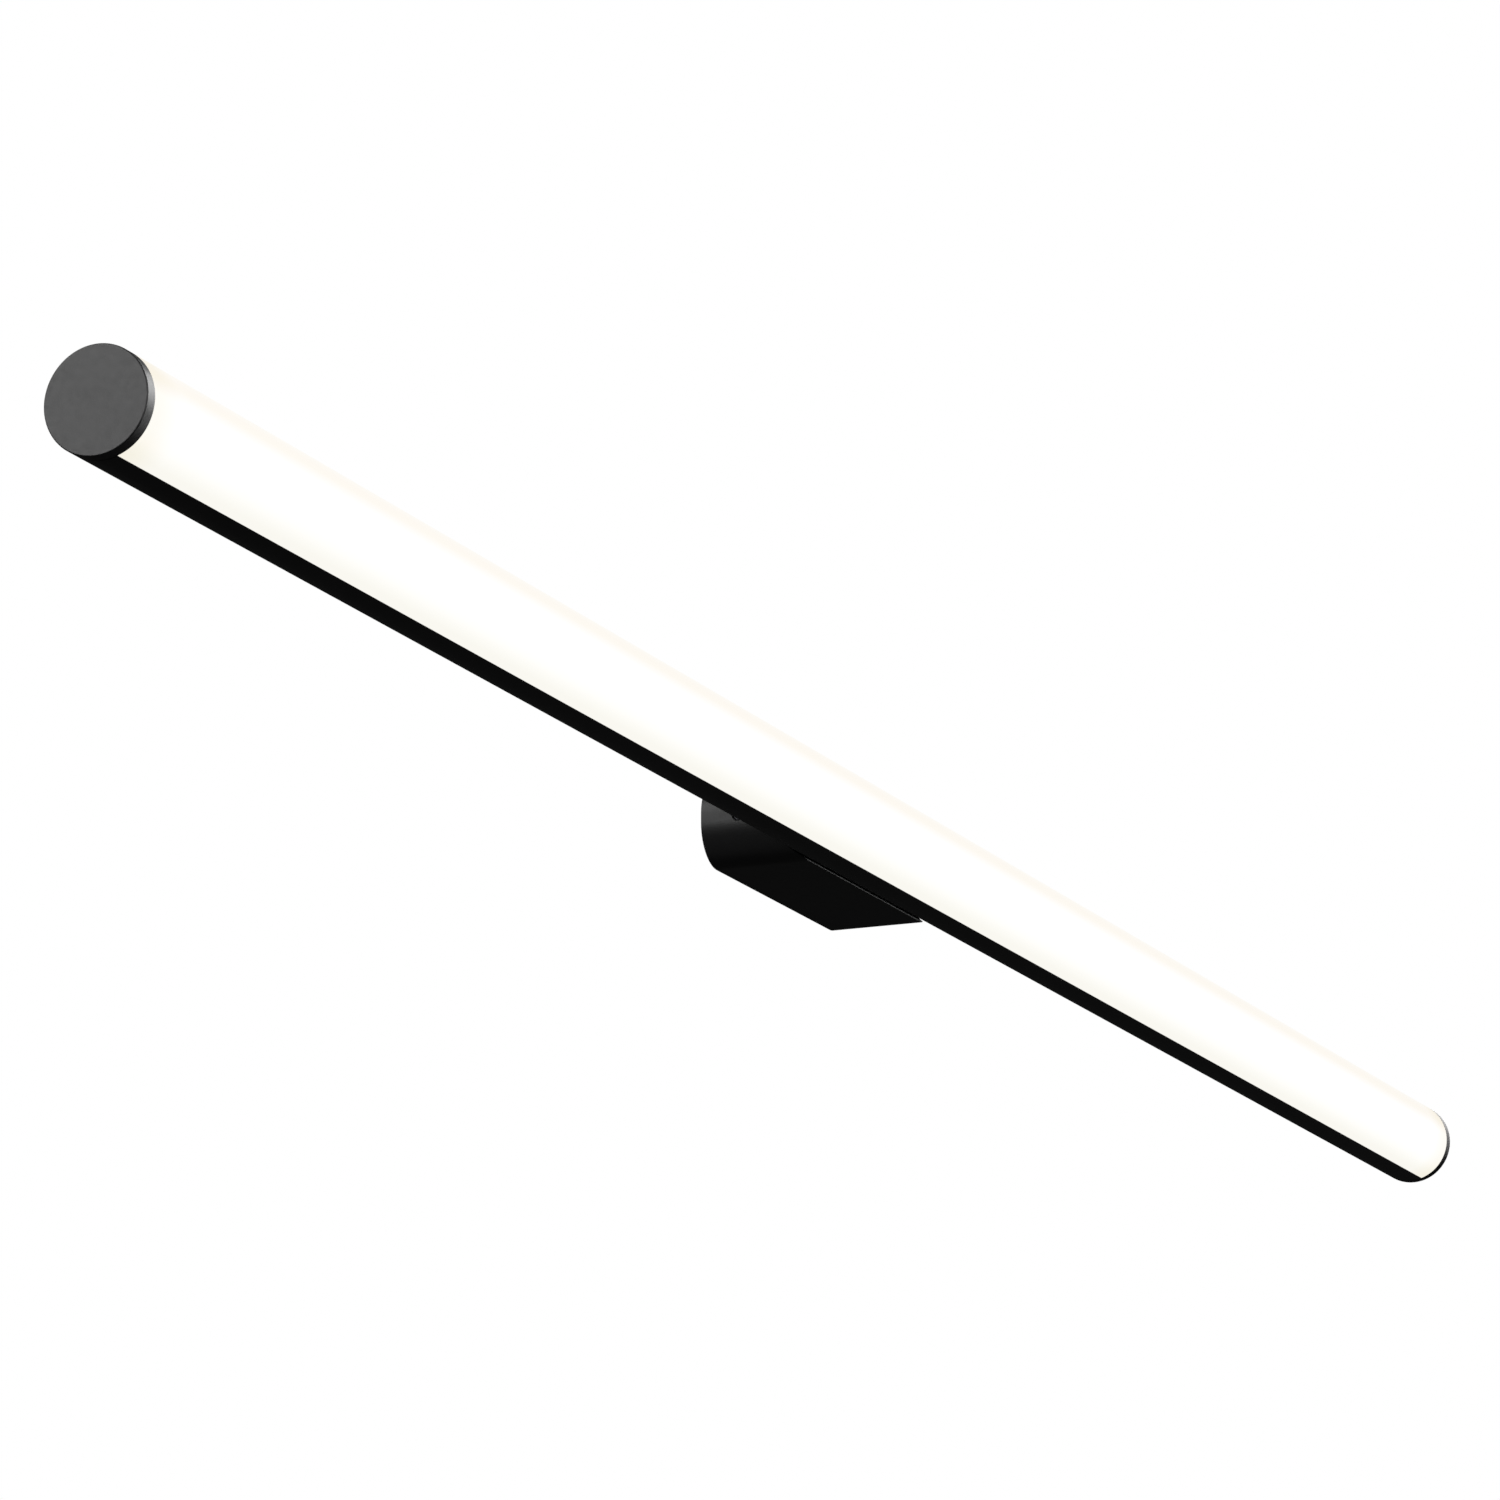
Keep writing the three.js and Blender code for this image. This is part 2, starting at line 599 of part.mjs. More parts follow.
/** The driver's tray, open towards the wall, with a hole for each lead in its right end. */
function driverCase() {
  const { x0, x1, y0, y1, halfHeight, wall: side } = driver;
  const holes = [ledLeadExit, mainsLeadExit].flatMap(({ y, z }) => [z, -z]
    .map((at) => rodAlongX(leadRadius + gap, x1 - side - overshoot, x1 + overshoot, y, at, 12)));
  return cut(
    block(x0, x1, y0, y1 - side - gap, -halfHeight, halfHeight),
    block(x0 + side, x1 - side, y0 + side, y1, -halfHeight + side, halfHeight - side),
    ...holes,
  );
}

function driverLid() {
  const { x0, x1, y1, halfHeight, wall: side } = driver;
  const { thickness, depth, halfHeight: tongueHalf } = lidTongue;
  const tongue = (x) => block(x, x + thickness, y1 - side - depth, y1, -tongueHalf, tongueHalf);
  const inset = side + gap;
  return join(
    block(x0, x1, y1 - side, y1, -halfHeight, halfHeight),
    tongue(x0 + inset),
    tongue(x1 - inset - thickness),
  );
}

function driverPad(x) {
  return block(x - ribHalf, x + ribHalf, ribBack + gap, driver.y0 - gap,
    -padHalfHeight, padHalfHeight);
}

const driverBoardTop = driver.y0 + driver.wall + gap + circuitThickness;

function driverBoard() {
  const inset = driver.wall + gap;
  return block(driver.x0 + inset, driver.x1 - driverRoom,
    driverBoardTop - circuitThickness, driverBoardTop,
    -driver.halfHeight + inset, driver.halfHeight - inset);
}

/** The transformer: a core with a wound bobbin through it. */
function driverTransformer() {
  const y0 = driverBoardTop + gap;
  const { x0, x1, height, halfHeight } = core;
  const { inset, lift } = bobbin;
  return join(
    block(x0, x1, y0, y0 + height, -halfHeight, halfHeight),
    block(x0 + inset, x1 - inset, y0 + lift, y0 + height - lift, -bobbin.halfHeight, bobbin.halfHeight),
  );
}

function driverCapacitor() {
  const { x0, x1, radius, z } = capacitor;
  return rodAlongX(radius, x0, x1, driverBoardTop + gap + radius, z, 24);
}

function driverChoke() {
  const { x, z, radius, height } = choke;
  return rodAlongY(radius, driverBoardTop + gap, driverBoardTop + height, x, z, 20);
}

// ---------------------------------------------------------------- the terminal block

/** A two-pole screw terminal: two wired poles with the fixing hole between them. */
function terminalBlock() {
  const { x0, x1, y0, y1, halfHeight, screwX } = terminal;
  const poles = [mainsLeadExit.z, -mainsLeadExit.z];
  const along = [x0 - overshoot, x1 + overshoot];
  const back = y1 + overshoot;
  const { depth, half } = entryGroove;
  return cut(
    block(x0, x1, y0, y1, -halfHeight, halfHeight),
    rodAlongY(fixingScrew.hole, y0 - overshoot, back, screwX, 0, 12),
    ...poles.map((z) => rodAlongX(pole.bore, ...along, pole.y, z, 12)),
    ...poles.map((z) => rodAlongY(pole.screwBore, pole.screwFloor, back, screwX, z, 12)),
    ...[-entryGroove.z, entryGroove.z].map((z) => block(...along, y1 - depth, back, z - half, z + half)),
  );
}

function terminalScrew(z) {
  const { radius, low, sunk, slotDepth, slotHalf } = poleScrew;
  const x = terminal.screwX;
  const top = terminal.y1 - sunk;
  return cut(
    rodAlongY(radius, low, top, x, z, 14),
    block(x - 2 * radius, x + 2 * radius, top - slotDepth, top + overshoot, z - slotHalf, z + slotHalf),
  );
}

function terminalFixingScrew() {
  const { y0, y1, screwX } = terminal;
  const { shank, head, height, reach } = fixingScrew;
  return screwAlongY({ x: screwX, seat: y1 + gap, tip: y0 - reach, shank, head, height, side: 1 });
}

/** A mains lead from the driver to one pole of the terminal block. */
function mainsLead(side) {
  const { y, z } = mainsLeadExit;
  return lead([
    [driver.x1 - 2.4, y, z * side],
    [driver.x1 + 2, y, z * side],
    [driver.x1 + 7, y - 1, (z + 1.4) * side],
    [driver.x1 + 12, y - 3, (z + 0.6) * side],
    [terminal.x0 + 1, pole.y, z * side],
    [terminal.x0 + 4, pole.y, z * side],
  ]);
}

// ---------------------------------------------------------------- the assembly

const light = new THREE.Group();
light.position.y = -barStandOff;

function place(name, solid, finish) {
  const mesh = new THREE.Mesh(toGeometry(solid), new THREE.MeshStandardMaterial(finishes[finish]));
  mesh.name = name;
  light.add(mesh);
}

const ends = [['left', -1], ['right', 1]];

place('housing_profile', housingProfile(), 'blackPaint');
place('diffuser', diffuser(), 'opal');
for (const [word, end] of ends) {
  place(`end_cap_${word}`, endCap(end), 'blackPaint');
  place(`end_seal_${word}`, endSeal(end), 'blackRubber');
}

for (let board = 0; board < boardCount; board += 1) {
  place(`led_board_${board + 1}`, ledBoard(board), 'boardWhite');
  boardScrewPlaces(board).forEach((spot, i) => {
    place(`board_screw_${2 * board + i + 1}`, boardScrew(spot), 'zincSteel');
  });
}
for (let joint = 1; joint < boardCount; joint += 1) {
  place(`board_link_${joint}`, boardLink((joint - boardCount / 2) * boardPitch), 'connectorWhite');
}
place('input_connector', inputConnector(), 'connectorWhite');
place('led_lead_positive', ledLead(-1, socketPoles.positive), 'leadRed');
place('led_lead_negative', ledLead(1, socketPoles.negative), 'leadBlack');

for (const [word, end] of ends) {
  place(`bar_screw_${word}`, barScrew(end * barScrewX), 'zincSteel');
  place(`bar_washer_${word}`, barWasher(end * barScrewX), 'zincSteel');
  place(`channel_nut_${word}`, channelNut(end * barScrewX), 'zincSteel');
  place(`retaining_screw_${word}`, retainingScrew(end), 'blackOxide');
}
place('lead_grommet', leadGrommet(), 'blackRubber');
place('canopy_cover', canopyCover(), 'blackPaint');
place('wall_gasket', wallGasket(), 'greyFoam');
place('wall_bracket', wallBracket(), 'zincSteel');
place('supply_grommet', supplyGrommet(), 'blackRubber');

place('driver_case', driverCase(), 'driverWhite');
place('driver_lid', driverLid(), 'driverWhite');
place('driver_pad_left', driverPad(driverRibs[0]), 'greyFoam');
place('driver_pad_right', driverPad(driverRibs[1]), 'greyFoam');
place('driver_board', driverBoard(), 'boardGreen');
place('driver_transformer', driverTransformer(), 'transformerYellow');
place('driver_capacitor', driverCapacitor(), 'capacitorBlack');
place('driver_choke', driverChoke(), 'capacitorBlack');

place('terminal_block', terminalBlock(), 'terminalNatural');
place('terminal_screw_live', terminalScrew(-mainsLeadExit.z), 'zincSteel');
place('terminal_screw_neutral', terminalScrew(mainsLeadExit.z), 'zincSteel');
place('terminal_fixing_screw', terminalFixingScrew(), 'zincSteel');
place('mains_lead_live', mainsLead(-1), 'leadBrown');
place('mains_lead_neutral', mainsLead(1), 'leadBlue');

export default light;
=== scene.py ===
"""Looks of the vanity light bar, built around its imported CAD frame.

Metres, in the CAD frame: the bar lies along X, the wall is the plane y = 0 and +Z is up.
"""
import json
import math

import bmesh
import bpy
from mathutils import Matrix, Vector

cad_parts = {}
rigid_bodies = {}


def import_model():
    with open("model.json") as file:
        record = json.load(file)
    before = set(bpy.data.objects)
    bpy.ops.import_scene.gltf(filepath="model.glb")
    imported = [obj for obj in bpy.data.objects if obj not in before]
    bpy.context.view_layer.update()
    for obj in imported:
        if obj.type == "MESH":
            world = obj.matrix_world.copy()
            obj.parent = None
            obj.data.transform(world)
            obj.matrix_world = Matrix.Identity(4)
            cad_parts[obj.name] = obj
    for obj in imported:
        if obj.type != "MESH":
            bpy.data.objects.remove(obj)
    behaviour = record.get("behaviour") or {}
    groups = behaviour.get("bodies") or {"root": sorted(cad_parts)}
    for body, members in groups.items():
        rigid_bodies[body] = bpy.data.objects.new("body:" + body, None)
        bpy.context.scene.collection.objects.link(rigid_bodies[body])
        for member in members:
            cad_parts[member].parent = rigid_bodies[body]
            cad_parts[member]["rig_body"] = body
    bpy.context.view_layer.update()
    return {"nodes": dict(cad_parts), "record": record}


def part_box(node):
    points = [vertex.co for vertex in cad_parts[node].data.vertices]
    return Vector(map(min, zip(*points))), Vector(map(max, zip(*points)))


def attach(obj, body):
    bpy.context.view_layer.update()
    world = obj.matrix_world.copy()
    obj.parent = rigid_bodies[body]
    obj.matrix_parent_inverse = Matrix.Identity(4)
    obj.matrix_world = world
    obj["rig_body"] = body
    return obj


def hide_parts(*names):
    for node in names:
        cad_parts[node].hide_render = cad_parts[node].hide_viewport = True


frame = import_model()
scene = bpy.context.scene

MM = 0.001
WELD = 0.002 * MM  # vertices closer than this become one


def middle_of(node):
    """The middle of a CAD node's box."""
    low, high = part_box(node)
    return (low + high) / 2


def size_of(node):
    """The three sides of a CAD node's box."""
    low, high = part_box(node)
    return high - low


# The bar, from the frame.
CAP_LOW, CAP_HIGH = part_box("end_cap_left")
HOUSING_LOW, HOUSING_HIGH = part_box("housing_profile")
RADIUS = (CAP_HIGH.z - CAP_LOW.z) / 2
AXIS_Y = (CAP_HIGH.y + CAP_LOW.y) / 2
BAR_END = -CAP_LOW.x
PROFILE_END = HOUSING_HIGH.x
GAP = 0.3 * MM
CAP_INNER = PROFILE_END + GAP
SEAM = math.acos((AXIS_Y - HOUSING_LOW.y) / RADIUS)
WALL = 1.6 * MM
INNER_RADIUS = RADIUS - WALL
ARC_STEP = math.radians(1.5)

# The snap joint and the inside of the housing.
LIP_INNER = 15.6 * MM
GROOVE_INNER = 16.0 * MM
LEG_OUTER = LIP_INNER - GAP
LEG_INNER = 14.2 * MM
FLOOR_FRONT = 1.3 * MM
FLOOR_BACK = FLOOR_FRONT + WALL
CHANNEL_HALF = 6.6 * MM
CHANNEL_FRONT = 10 * MM
RAIL_THICKNESS = 1.4 * MM
RAIL_REACH = 4.2 * MM
SEAM_SHUT = 0.04 * MM

# The canopy, from the frame.
CANOPY_LOW, CANOPY_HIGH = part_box("canopy_cover")
CANOPY_WALL = 2.2 * MM
CANOPY_CORNER = 14.2 * MM
SADDLE_RADIUS = RADIUS + GAP
SADDLE_BACK = SADDLE_RADIUS + CANOPY_WALL
BAR_SCREW_X = middle_of("bar_screw_right").x
LEAD_X = middle_of("lead_grommet").x
TERMINAL_X = middle_of("terminal_fixing_screw").x
RETAINING_Y = middle_of("retaining_screw_left").y

# Radii of the holes.
BAR_SCREW_HOLE = 2.3 * MM
BOARD_SCREW_HOLE = 1.5 * MM
BOARD_LEAD_HOLE = 4 * MM
LEAD_HOLE = 5 * MM
TERMINAL_SCREW_HOLE = 1.8 * MM

BOARD_SCREWS = [f"board_screw_{i}" for i in range(1, 9)]

# Shank radius and head height of each kind of cross-recess screw.
SCREW_SIZES = {
    "board": (1.2 * MM, 1.3 * MM),
    "bar": (1.95 * MM, 2.6 * MM),
    "terminal": (1.5 * MM, 1.7 * MM),
}

# CAD nodes that are copied with rounder edges: edge width and slot.
REFINED = {
    "driver_case": (0.3 * MM, "driver_white"),
    "driver_lid": (0.35 * MM, "driver_white"),
    "terminal_block": (0.15 * MM, "terminal_natural"),
    "wall_bracket": (0.3 * MM, "zinc_steel"),
}

# The studio.
CAMERA_PLACE = Vector((-2.4000, -1.0135, -0.6139))
CAMERA_AIM = Vector((-0.0256, -0.0015, 0.0338))
CAMERA_LENS = 178.94
FLOOR_HEIGHT = -0.9


# ---------------------------------------------------------------- meshes

def mesh_object(name, bm):
    """An object from a bmesh, with its doubled vertices made one and its faces turned outwards."""
    bmesh.ops.remove_doubles(bm, verts=bm.verts, dist=WELD)
    bmesh.ops.recalc_face_normals(bm, faces=bm.faces)
    mesh = bpy.data.meshes.new(name)
    bm.to_mesh(mesh)
    bm.free()
    piece = bpy.data.objects.new(name, mesh)
    scene.collection.objects.link(piece)
    return piece


def apply_modifiers(piece):
    bpy.context.view_layer.update()
    graph = bpy.context.evaluated_depsgraph_get()
    mesh = bpy.data.meshes.new_from_object(piece.evaluated_get(graph))
    piece.modifiers.clear()
    piece.data = mesh


def boolean(piece, operation, *tools):
    """Joins the tools to the piece (UNION) or takes them out of it (DIFFERENCE)."""
    for tool in tools:
        modifier = piece.modifiers.new("boolean", "BOOLEAN")
        modifier.operation = operation
        modifier.solver = "EXACT"
        modifier.object = tool
        apply_modifiers(piece)
        bpy.data.objects.remove(tool)
    return piece


def round_edges(piece, width, segments):
    """Rounds the edges where faces turn by more than 40 degrees."""
    modifier = piece.modifiers.new("bevel", "BEVEL")
    modifier.width = width
    modifier.segments = segments
    modifier.limit_method = "ANGLE"
    modifier.angle_limit = math.radians(40)
    apply_modifiers(piece)
    return piece


def clean(piece):
    """Joins coplanar faces, and drops the slivers and doubled points that cutting leaves."""
    bm = bmesh.new()
    bm.from_mesh(piece.data)
    bmesh.ops.remove_doubles(bm, verts=bm.verts, dist=WELD)
    bmesh.ops.dissolve_degenerate(bm, edges=bm.edges, dist=WELD)
    bmesh.ops.dissolve_limit(bm, angle_limit=math.radians(0.1), verts=bm.verts, edges=bm.edges)
    bm.to_mesh(piece.data)
    bm.free()


def smooth(piece, corner=math.radians(35)):
    """Smooth shading that keeps sharp corners, and keeps broad faces flat beside their fillets."""
    for face in piece.data.polygons:
        face.use_smooth = True
    piece.data.set_sharp_from_angle(angle=corner)
    modifier = piece.modifiers.new("weighted", "WEIGHTED_NORMAL")
    modifier.keep_sharp = True
    apply_modifiers(piece)
    return piece


def loft(bm, rings):
    """Quads between neighbouring closed rings with the same number of points."""
    rows = [[bm.verts.new(point) for point in ring] for ring in rings]
    for near, far in zip(rows, rows[1:]):
        count = len(near)
        for i in range(count):
            j = (i + 1) % count
            bm.faces.new((near[i], near[j], far[j], far[i]))
    return rows


def along_x(u, v, depth):
    return Vector((depth, u, v))


def along_y(u, v, depth):
    return Vector((u, depth, v))


def prism(name, loops, low, high, place):
    """A solid between two depths, from an outline and the outlines of its holes."""
    bm = bmesh.new()
    ends = {low: [], high: []}
    for loop in loops:
        rows = loft(bm, [[place(u, v, depth) for u, v in loop] for depth in (low, high)])
        for depth, row in zip((low, high), rows):
            ends[depth] += [bm.edges.get(pair) for pair in zip(row, row[1:] + row[:1])]
    for edges in ends.values():
        bmesh.ops.triangle_fill(bm, edges=edges, use_beauty=True)
    return mesh_object(name, bm)


def lathe(name, profile, place, sides=96):
    """A closed profile of (depth, radius) points turned about a line; place sets the line."""
    bm = bmesh.new()
    turns = [2 * math.pi * i / sides for i in range(sides)]
    loft(bm, [
        [place(radius * math.cos(turn), radius * math.sin(turn), depth) for turn in turns]
        for depth, radius in profile
    ])
    return mesh_object(name, bm)


def join(name, *pieces):
    """One object that holds the meshes of several."""
    bm = bmesh.new()
    for piece in pieces:
        bm.from_mesh(piece.data)
        bpy.data.objects.remove(piece)
    return mesh_object(name, bm)


def rod(radius, low, high, place, sides=48):
    return lathe("rod", [(low, 0), (low, radius), (high, radius), (high, 0)], place, sides)


def rod_along_y(radius, low, high, x, z=0.0, sides=48):
    return rod(radius, low, high, lambda u, v, depth: Vector((x + u, depth, z + v)), sides)


def rod_along_x(radius, low, high, y):
    return rod(radius, low, high, lambda u, v, depth: Vector((depth, y + u, v)))


def block(low, high):
    loop = [(low.x, low.z), (high.x, low.z), (high.x, high.z), (low.x, high.z)]
    return prism("block", [loop], low.y, high.y, along_y)


# ---------------------------------------------------------------- outlines

def filleted(corners, closed=True, steps=6):
    """An outline through (u, v, radius) corners, each rounded by an arc of its radius."""
    points = []
    for i, (u, v, radius) in enumerate(corners):
        here = Vector((u, v))
        open_end = not closed and i in (0, len(corners) - 1)
        if radius == 0 or open_end:
            points.append((u, v))
            continue
        before = (Vector(corners[i - 1][:2]) - here).normalized()
        after = (Vector(corners[(i + 1) % len(corners)][:2]) - here).normalized()
        half = before.angle(after) / 2
        reach = radius / math.tan(half)
        centre = here + (before + after).normalized() * (radius / math.sin(half))
        start = here + before * reach - centre
        end = here + after * reach - centre
        sweep = start.angle_signed(end)
        for step in range(steps + 1):
            turned = Matrix.Rotation(-sweep * step / steps, 2) @ start
            points.append(tuple(centre + turned))
    return points


def polar(radius, angle):
    """A point of the bar's section as (y, z), by radius and angle from straight ahead."""
    return (AXIS_Y - radius * math.cos(angle), radius * math.sin(angle))


def arc(radius, start, end):
    steps = max(1, round(abs(end - start) / ARC_STEP))
    return [polar(radius, start + (end - start) * i / steps) for i in range(steps + 1)]


def mirrored(upper):
    """A closed outline from its upper half; points on the middle line aren't doubled."""
    lower = [(y, -z) for y, z in reversed(upper) if abs(z) > WELD]
    return upper + lower


def angle_at_depth(radius, depth):
    """Where an arc of that radius is so far behind the bar's axis."""
    return math.acos(-depth / radius)


def angle_at_height(radius, height):
    """Where the back of an arc of that radius is so far above the bar's axis."""
    return math.pi - math.asin(height / radius)


def rounded_rectangle(half_x, half_z, corner, corner_steps=24, end_steps=6):
    """A closed ring of (x, z) points, always the same number for the same steps."""
    x = half_x - corner
    z = half_z - corner
    ring = []
    centres = ((x, z), (-x, z), (-x, -z), (x, -z))
    for quarter, (centre_x, centre_z) in enumerate(centres):
        for step in range(corner_steps + 1):
            turn = 0.5 * math.pi * (quarter + step / corner_steps)
            ring.append((centre_x + corner * math.cos(turn), centre_z + corner * math.sin(turn)))
        if quarter in (1, 3):
            last_x = ring[-1][0]
            ring += [(last_x, centre_z - 2 * centre_z * k / end_steps) for k in range(1, end_steps)]
    return ring


# ---------------------------------------------------------------- materials

class Finish:
    """A Principled material, with short ways to add procedural nodes to it."""

    def __init__(self, name, **sockets):
        self.material = bpy.data.materials.new(name)
        self.material.use_nodes = True
        self.tree = self.material.node_tree
        self.shader = self.tree.nodes["Principled BSDF"]
        for socket, value in sockets.items():
            self.shader.inputs[socket.replace("_", " ")].default_value = value
        self.place = self.add("ShaderNodeTexCoord").outputs["Object"]

    def add(self, kind, inputs=None, **settings):
        node = self.tree.nodes.new(kind)
        for name, value in settings.items():
            setattr(node, name, value)
        for socket, value in (inputs or {}).items():
            if isinstance(value, bpy.types.NodeSocket):
                self.tree.links.new(value, node.inputs[socket])
            else:
                node.inputs[socket].default_value = value
        return node

    def set(self, socket, output):
        self.tree.links.new(output, self.shader.inputs[socket])

    def noise(self, size, detail=3.0, stretch=None):
        """Noise with features of that size, in metres."""
        place = self.place
        if stretch:
            place = self.add("ShaderNodeMapping", {"Vector": place, "Scale": stretch}).outputs[0]
        inputs = {"Vector": place, "Scale": 1 / size, "Detail": detail, "Roughness": 0.55}
        return self.add("ShaderNodeTexNoise", inputs).outputs["Fac"]

    def cells(self, size):
        """Distance from the middles of cells of that size, in metres."""
        inputs = {"Vector": self.place, "Scale": 1 / size}
        return self.add("ShaderNodeTexVoronoi", inputs).outputs["Distance"]

    def math(self, operation, *values):
        inputs = dict(enumerate(values))
        return self.add("ShaderNodeMath", inputs, operation=operation).outputs[0]

    def ramp(self, factor, stops):
        """Colours by factor, from (position, colour) stops."""
        node = self.add("ShaderNodeValToRGB", {"Fac": factor})
        elements = node.color_ramp.elements
        while len(elements) < len(stops):
            elements.new(0.5)
        for element, (position, colour) in zip(elements, stops):
            element.position = position
            element.color = (*colour, 1.0)
        return node.outputs["Color"]

    def between(self, factor, low, high):
        """A number between low and high, by factor."""
        inputs = {"Value": factor, "To Min": low, "To Max": high}
        return self.add("ShaderNodeMapRange", inputs).outputs["Result"]

    def mix(self, factor, first, second):
        inputs = {0: factor, 6: first, 7: second}
        return self.add("ShaderNodeMix", inputs, data_type="RGBA").outputs[2]

    def bump(self, layers):
        """Bump from (height, distance in metres) layers, one on another."""
        normal = None
        for height, distance in layers:
            inputs = {"Height": height, "Distance": distance, "Strength": 1.0}
            if normal:
                inputs["Normal"] = normal
            normal = self.add("ShaderNodeBump", inputs).outputs["Normal"]
        self.set("Normal", normal)


def grey(value):
    return (value, value, value)


def black_powder_coat():
    """Satin black paint with a fine orange peel, a little paler where edges are rubbed."""
    finish = Finish("satin_black", Metallic=0.0, IOR=1.5)
    tone = finish.noise(9 * MM, 4)
    paint = finish.ramp(tone, [(0.3, (0.0034, 0.0034, 0.0037)), (0.7, (0.0052, 0.0052, 0.0056))])
    edges = finish.add("ShaderNodeNewGeometry").outputs["Pointiness"]
    rubbed = finish.between(edges, 0.0, 1.0)
    worn = finish.ramp(rubbed, [(0.53, grey(0.0)), (0.62, grey(1.0))])
    patchy = finish.math("MULTIPLY", worn, finish.noise(4 * MM))
    finish.set("Base Color", finish.mix(patchy, paint, (0.012, 0.012, 0.013, 1.0)))
    finish.set("Roughness", finish.between(finish.noise(2.2 * MM, 4), 0.38, 0.48))
    finish.bump([(finish.noise(0.9 * MM, 2), 0.003 * MM), (finish.noise(0.16 * MM, 2), 0.0009 * MM)])
    return finish.material


def opal_diffuser():
    """Opal cover lit from inside: white in front, a little dimmer and warmer off the middle."""
    finish = Finish("opal_glow", Base_Color=(0.12, 0.118, 0.112, 1.0), IOR=1.49, Emission_Strength=1.0)
    split = finish.add("ShaderNodeSeparateXYZ", {"Vector": finish.place})
    depth = finish.math("SUBTRACT", AXIS_Y, split.outputs["Y"])
    angle = finish.math("ARCTAN2", split.outputs["Z"], depth)
    share = finish.math("MULTIPLY_ADD", angle, 0.5 / SEAM, 0.5)
    glow = finish.ramp(share, [
        (0.0, (0.935, 0.92, 0.865)),
        (0.07, (0.935, 0.92, 0.86)),
        (0.13, (0.96, 0.95, 0.90)),
        (0.2, (1.0, 0.985, 0.96)),
        (0.3, (1.0, 1.0, 1.0)),
        (0.54, (1.0, 1.0, 1.0)),
        (0.61, (0.955, 0.93, 0.905)),
        (0.67, (0.925, 0.89, 0.825)),
        (0.73, (0.915, 0.875, 0.815)),
        (0.82, (0.91, 0.885, 0.84)),
        (1.0, (0.92, 0.90, 0.85)),
    ])
    reach = finish.math("DIVIDE", finish.math("ABSOLUTE", split.outputs["X"]), PROFILE_END)
    ends = finish.ramp(reach, [(0.97, grey(1.0)), (0.994, (0.96, 0.94, 0.88))])
    shade = finish.mix(1.0, glow, ends)
    shade.node.blend_type = "MULTIPLY"
    finish.set("Emission Color", shade)
    finish.set("Roughness", finish.between(finish.noise(3 * MM), 0.3, 0.38))
    finish.bump([(finish.noise(1.4 * MM, 2), 0.002 * MM)])
    return finish.material


def moulded(name, colour, spread, grain, roughness, relief=0.004 * MM):
    """Moulded plastic or rubber: mottled colour, uneven gloss and a fine grain."""
    finish = Finish(name, IOR=1.5)
    pale = tuple(min(1.0, part * (1 + spread)) for part in colour)
    dark = tuple(part * (1 - spread) for part in colour)
    finish.set("Base Color", finish.ramp(finish.noise(12 * grain, 4), [(0.3, dark), (0.7, pale)]))
    finish.set("Roughness", finish.between(finish.noise(5 * grain), roughness - 0.06, roughness + 0.06))
    finish.bump([(finish.noise(4 * grain, 2), 2 * relief), (finish.noise(grain, 2), relief)])
    return finish.material


def foam(name, colour):
    """Closed-cell foam: small round cells, each with painted shade darkening its sunken middle below its
    rim.
    """
    finish = Finish(name, IOR=1.4)
    cell = finish.cells(0.7 * MM)
    # Painted shade: the colour darkens towards each cell's middle, where the bump sinks into a pit.
    painted_pit_shade = finish.ramp(cell, [(0.1, tuple(0.55 * part for part in colour)), (0.7, colour)])
    finish.set("Base Color", painted_pit_shade)
    finish.set("Roughness", finish.between(cell, 0.97, 0.8))
    finish.bump([(cell, 0.12 * MM), (finish.noise(2.5 * MM), 0.08 * MM)])
    return finish.material


def zinc_steel():
    """Bright zinc plate: pale spangle, faint warm and cool stains, and drawing marks."""
    finish = Finish("zinc_plate", Metallic=0.85)
    stain = finish.noise(14 * MM, 3)
    tint = finish.ramp(stain, [
        (0.3, (0.60, 0.62, 0.66)),
        (0.5, (0.68, 0.68, 0.68)),
        (0.72, (0.68, 0.66, 0.61)),
    ])
    finish.set("Base Color", tint)
    spangle = finish.cells(1.3 * MM)
    finish.set("Roughness", finish.between(spangle, 0.30, 0.40))
    marks = finish.noise(0.25 * MM, 3, stretch=(0.05, 1.0, 1.0))
    finish.bump([(spangle, 0.001 * MM), (marks, 0.002 * MM)])
    return finish.material


def black_oxide():
    """Oiled black steel for the headless screws."""
    finish = Finish("black_oxide", Metallic=0.9)
    tone = finish.noise(1.5 * MM, 4)
    finish.set("Base Color", finish.ramp(tone, [(0.3, (0.012, 0.012, 0.014)), (0.7, (0.03, 0.03, 0.033))]))
    finish.set("Roughness", finish.between(finish.noise(0.6 * MM), 0.32, 0.5))
    finish.bump([(finish.noise(0.2 * MM, 2), 0.003 * MM)])
    return finish.material


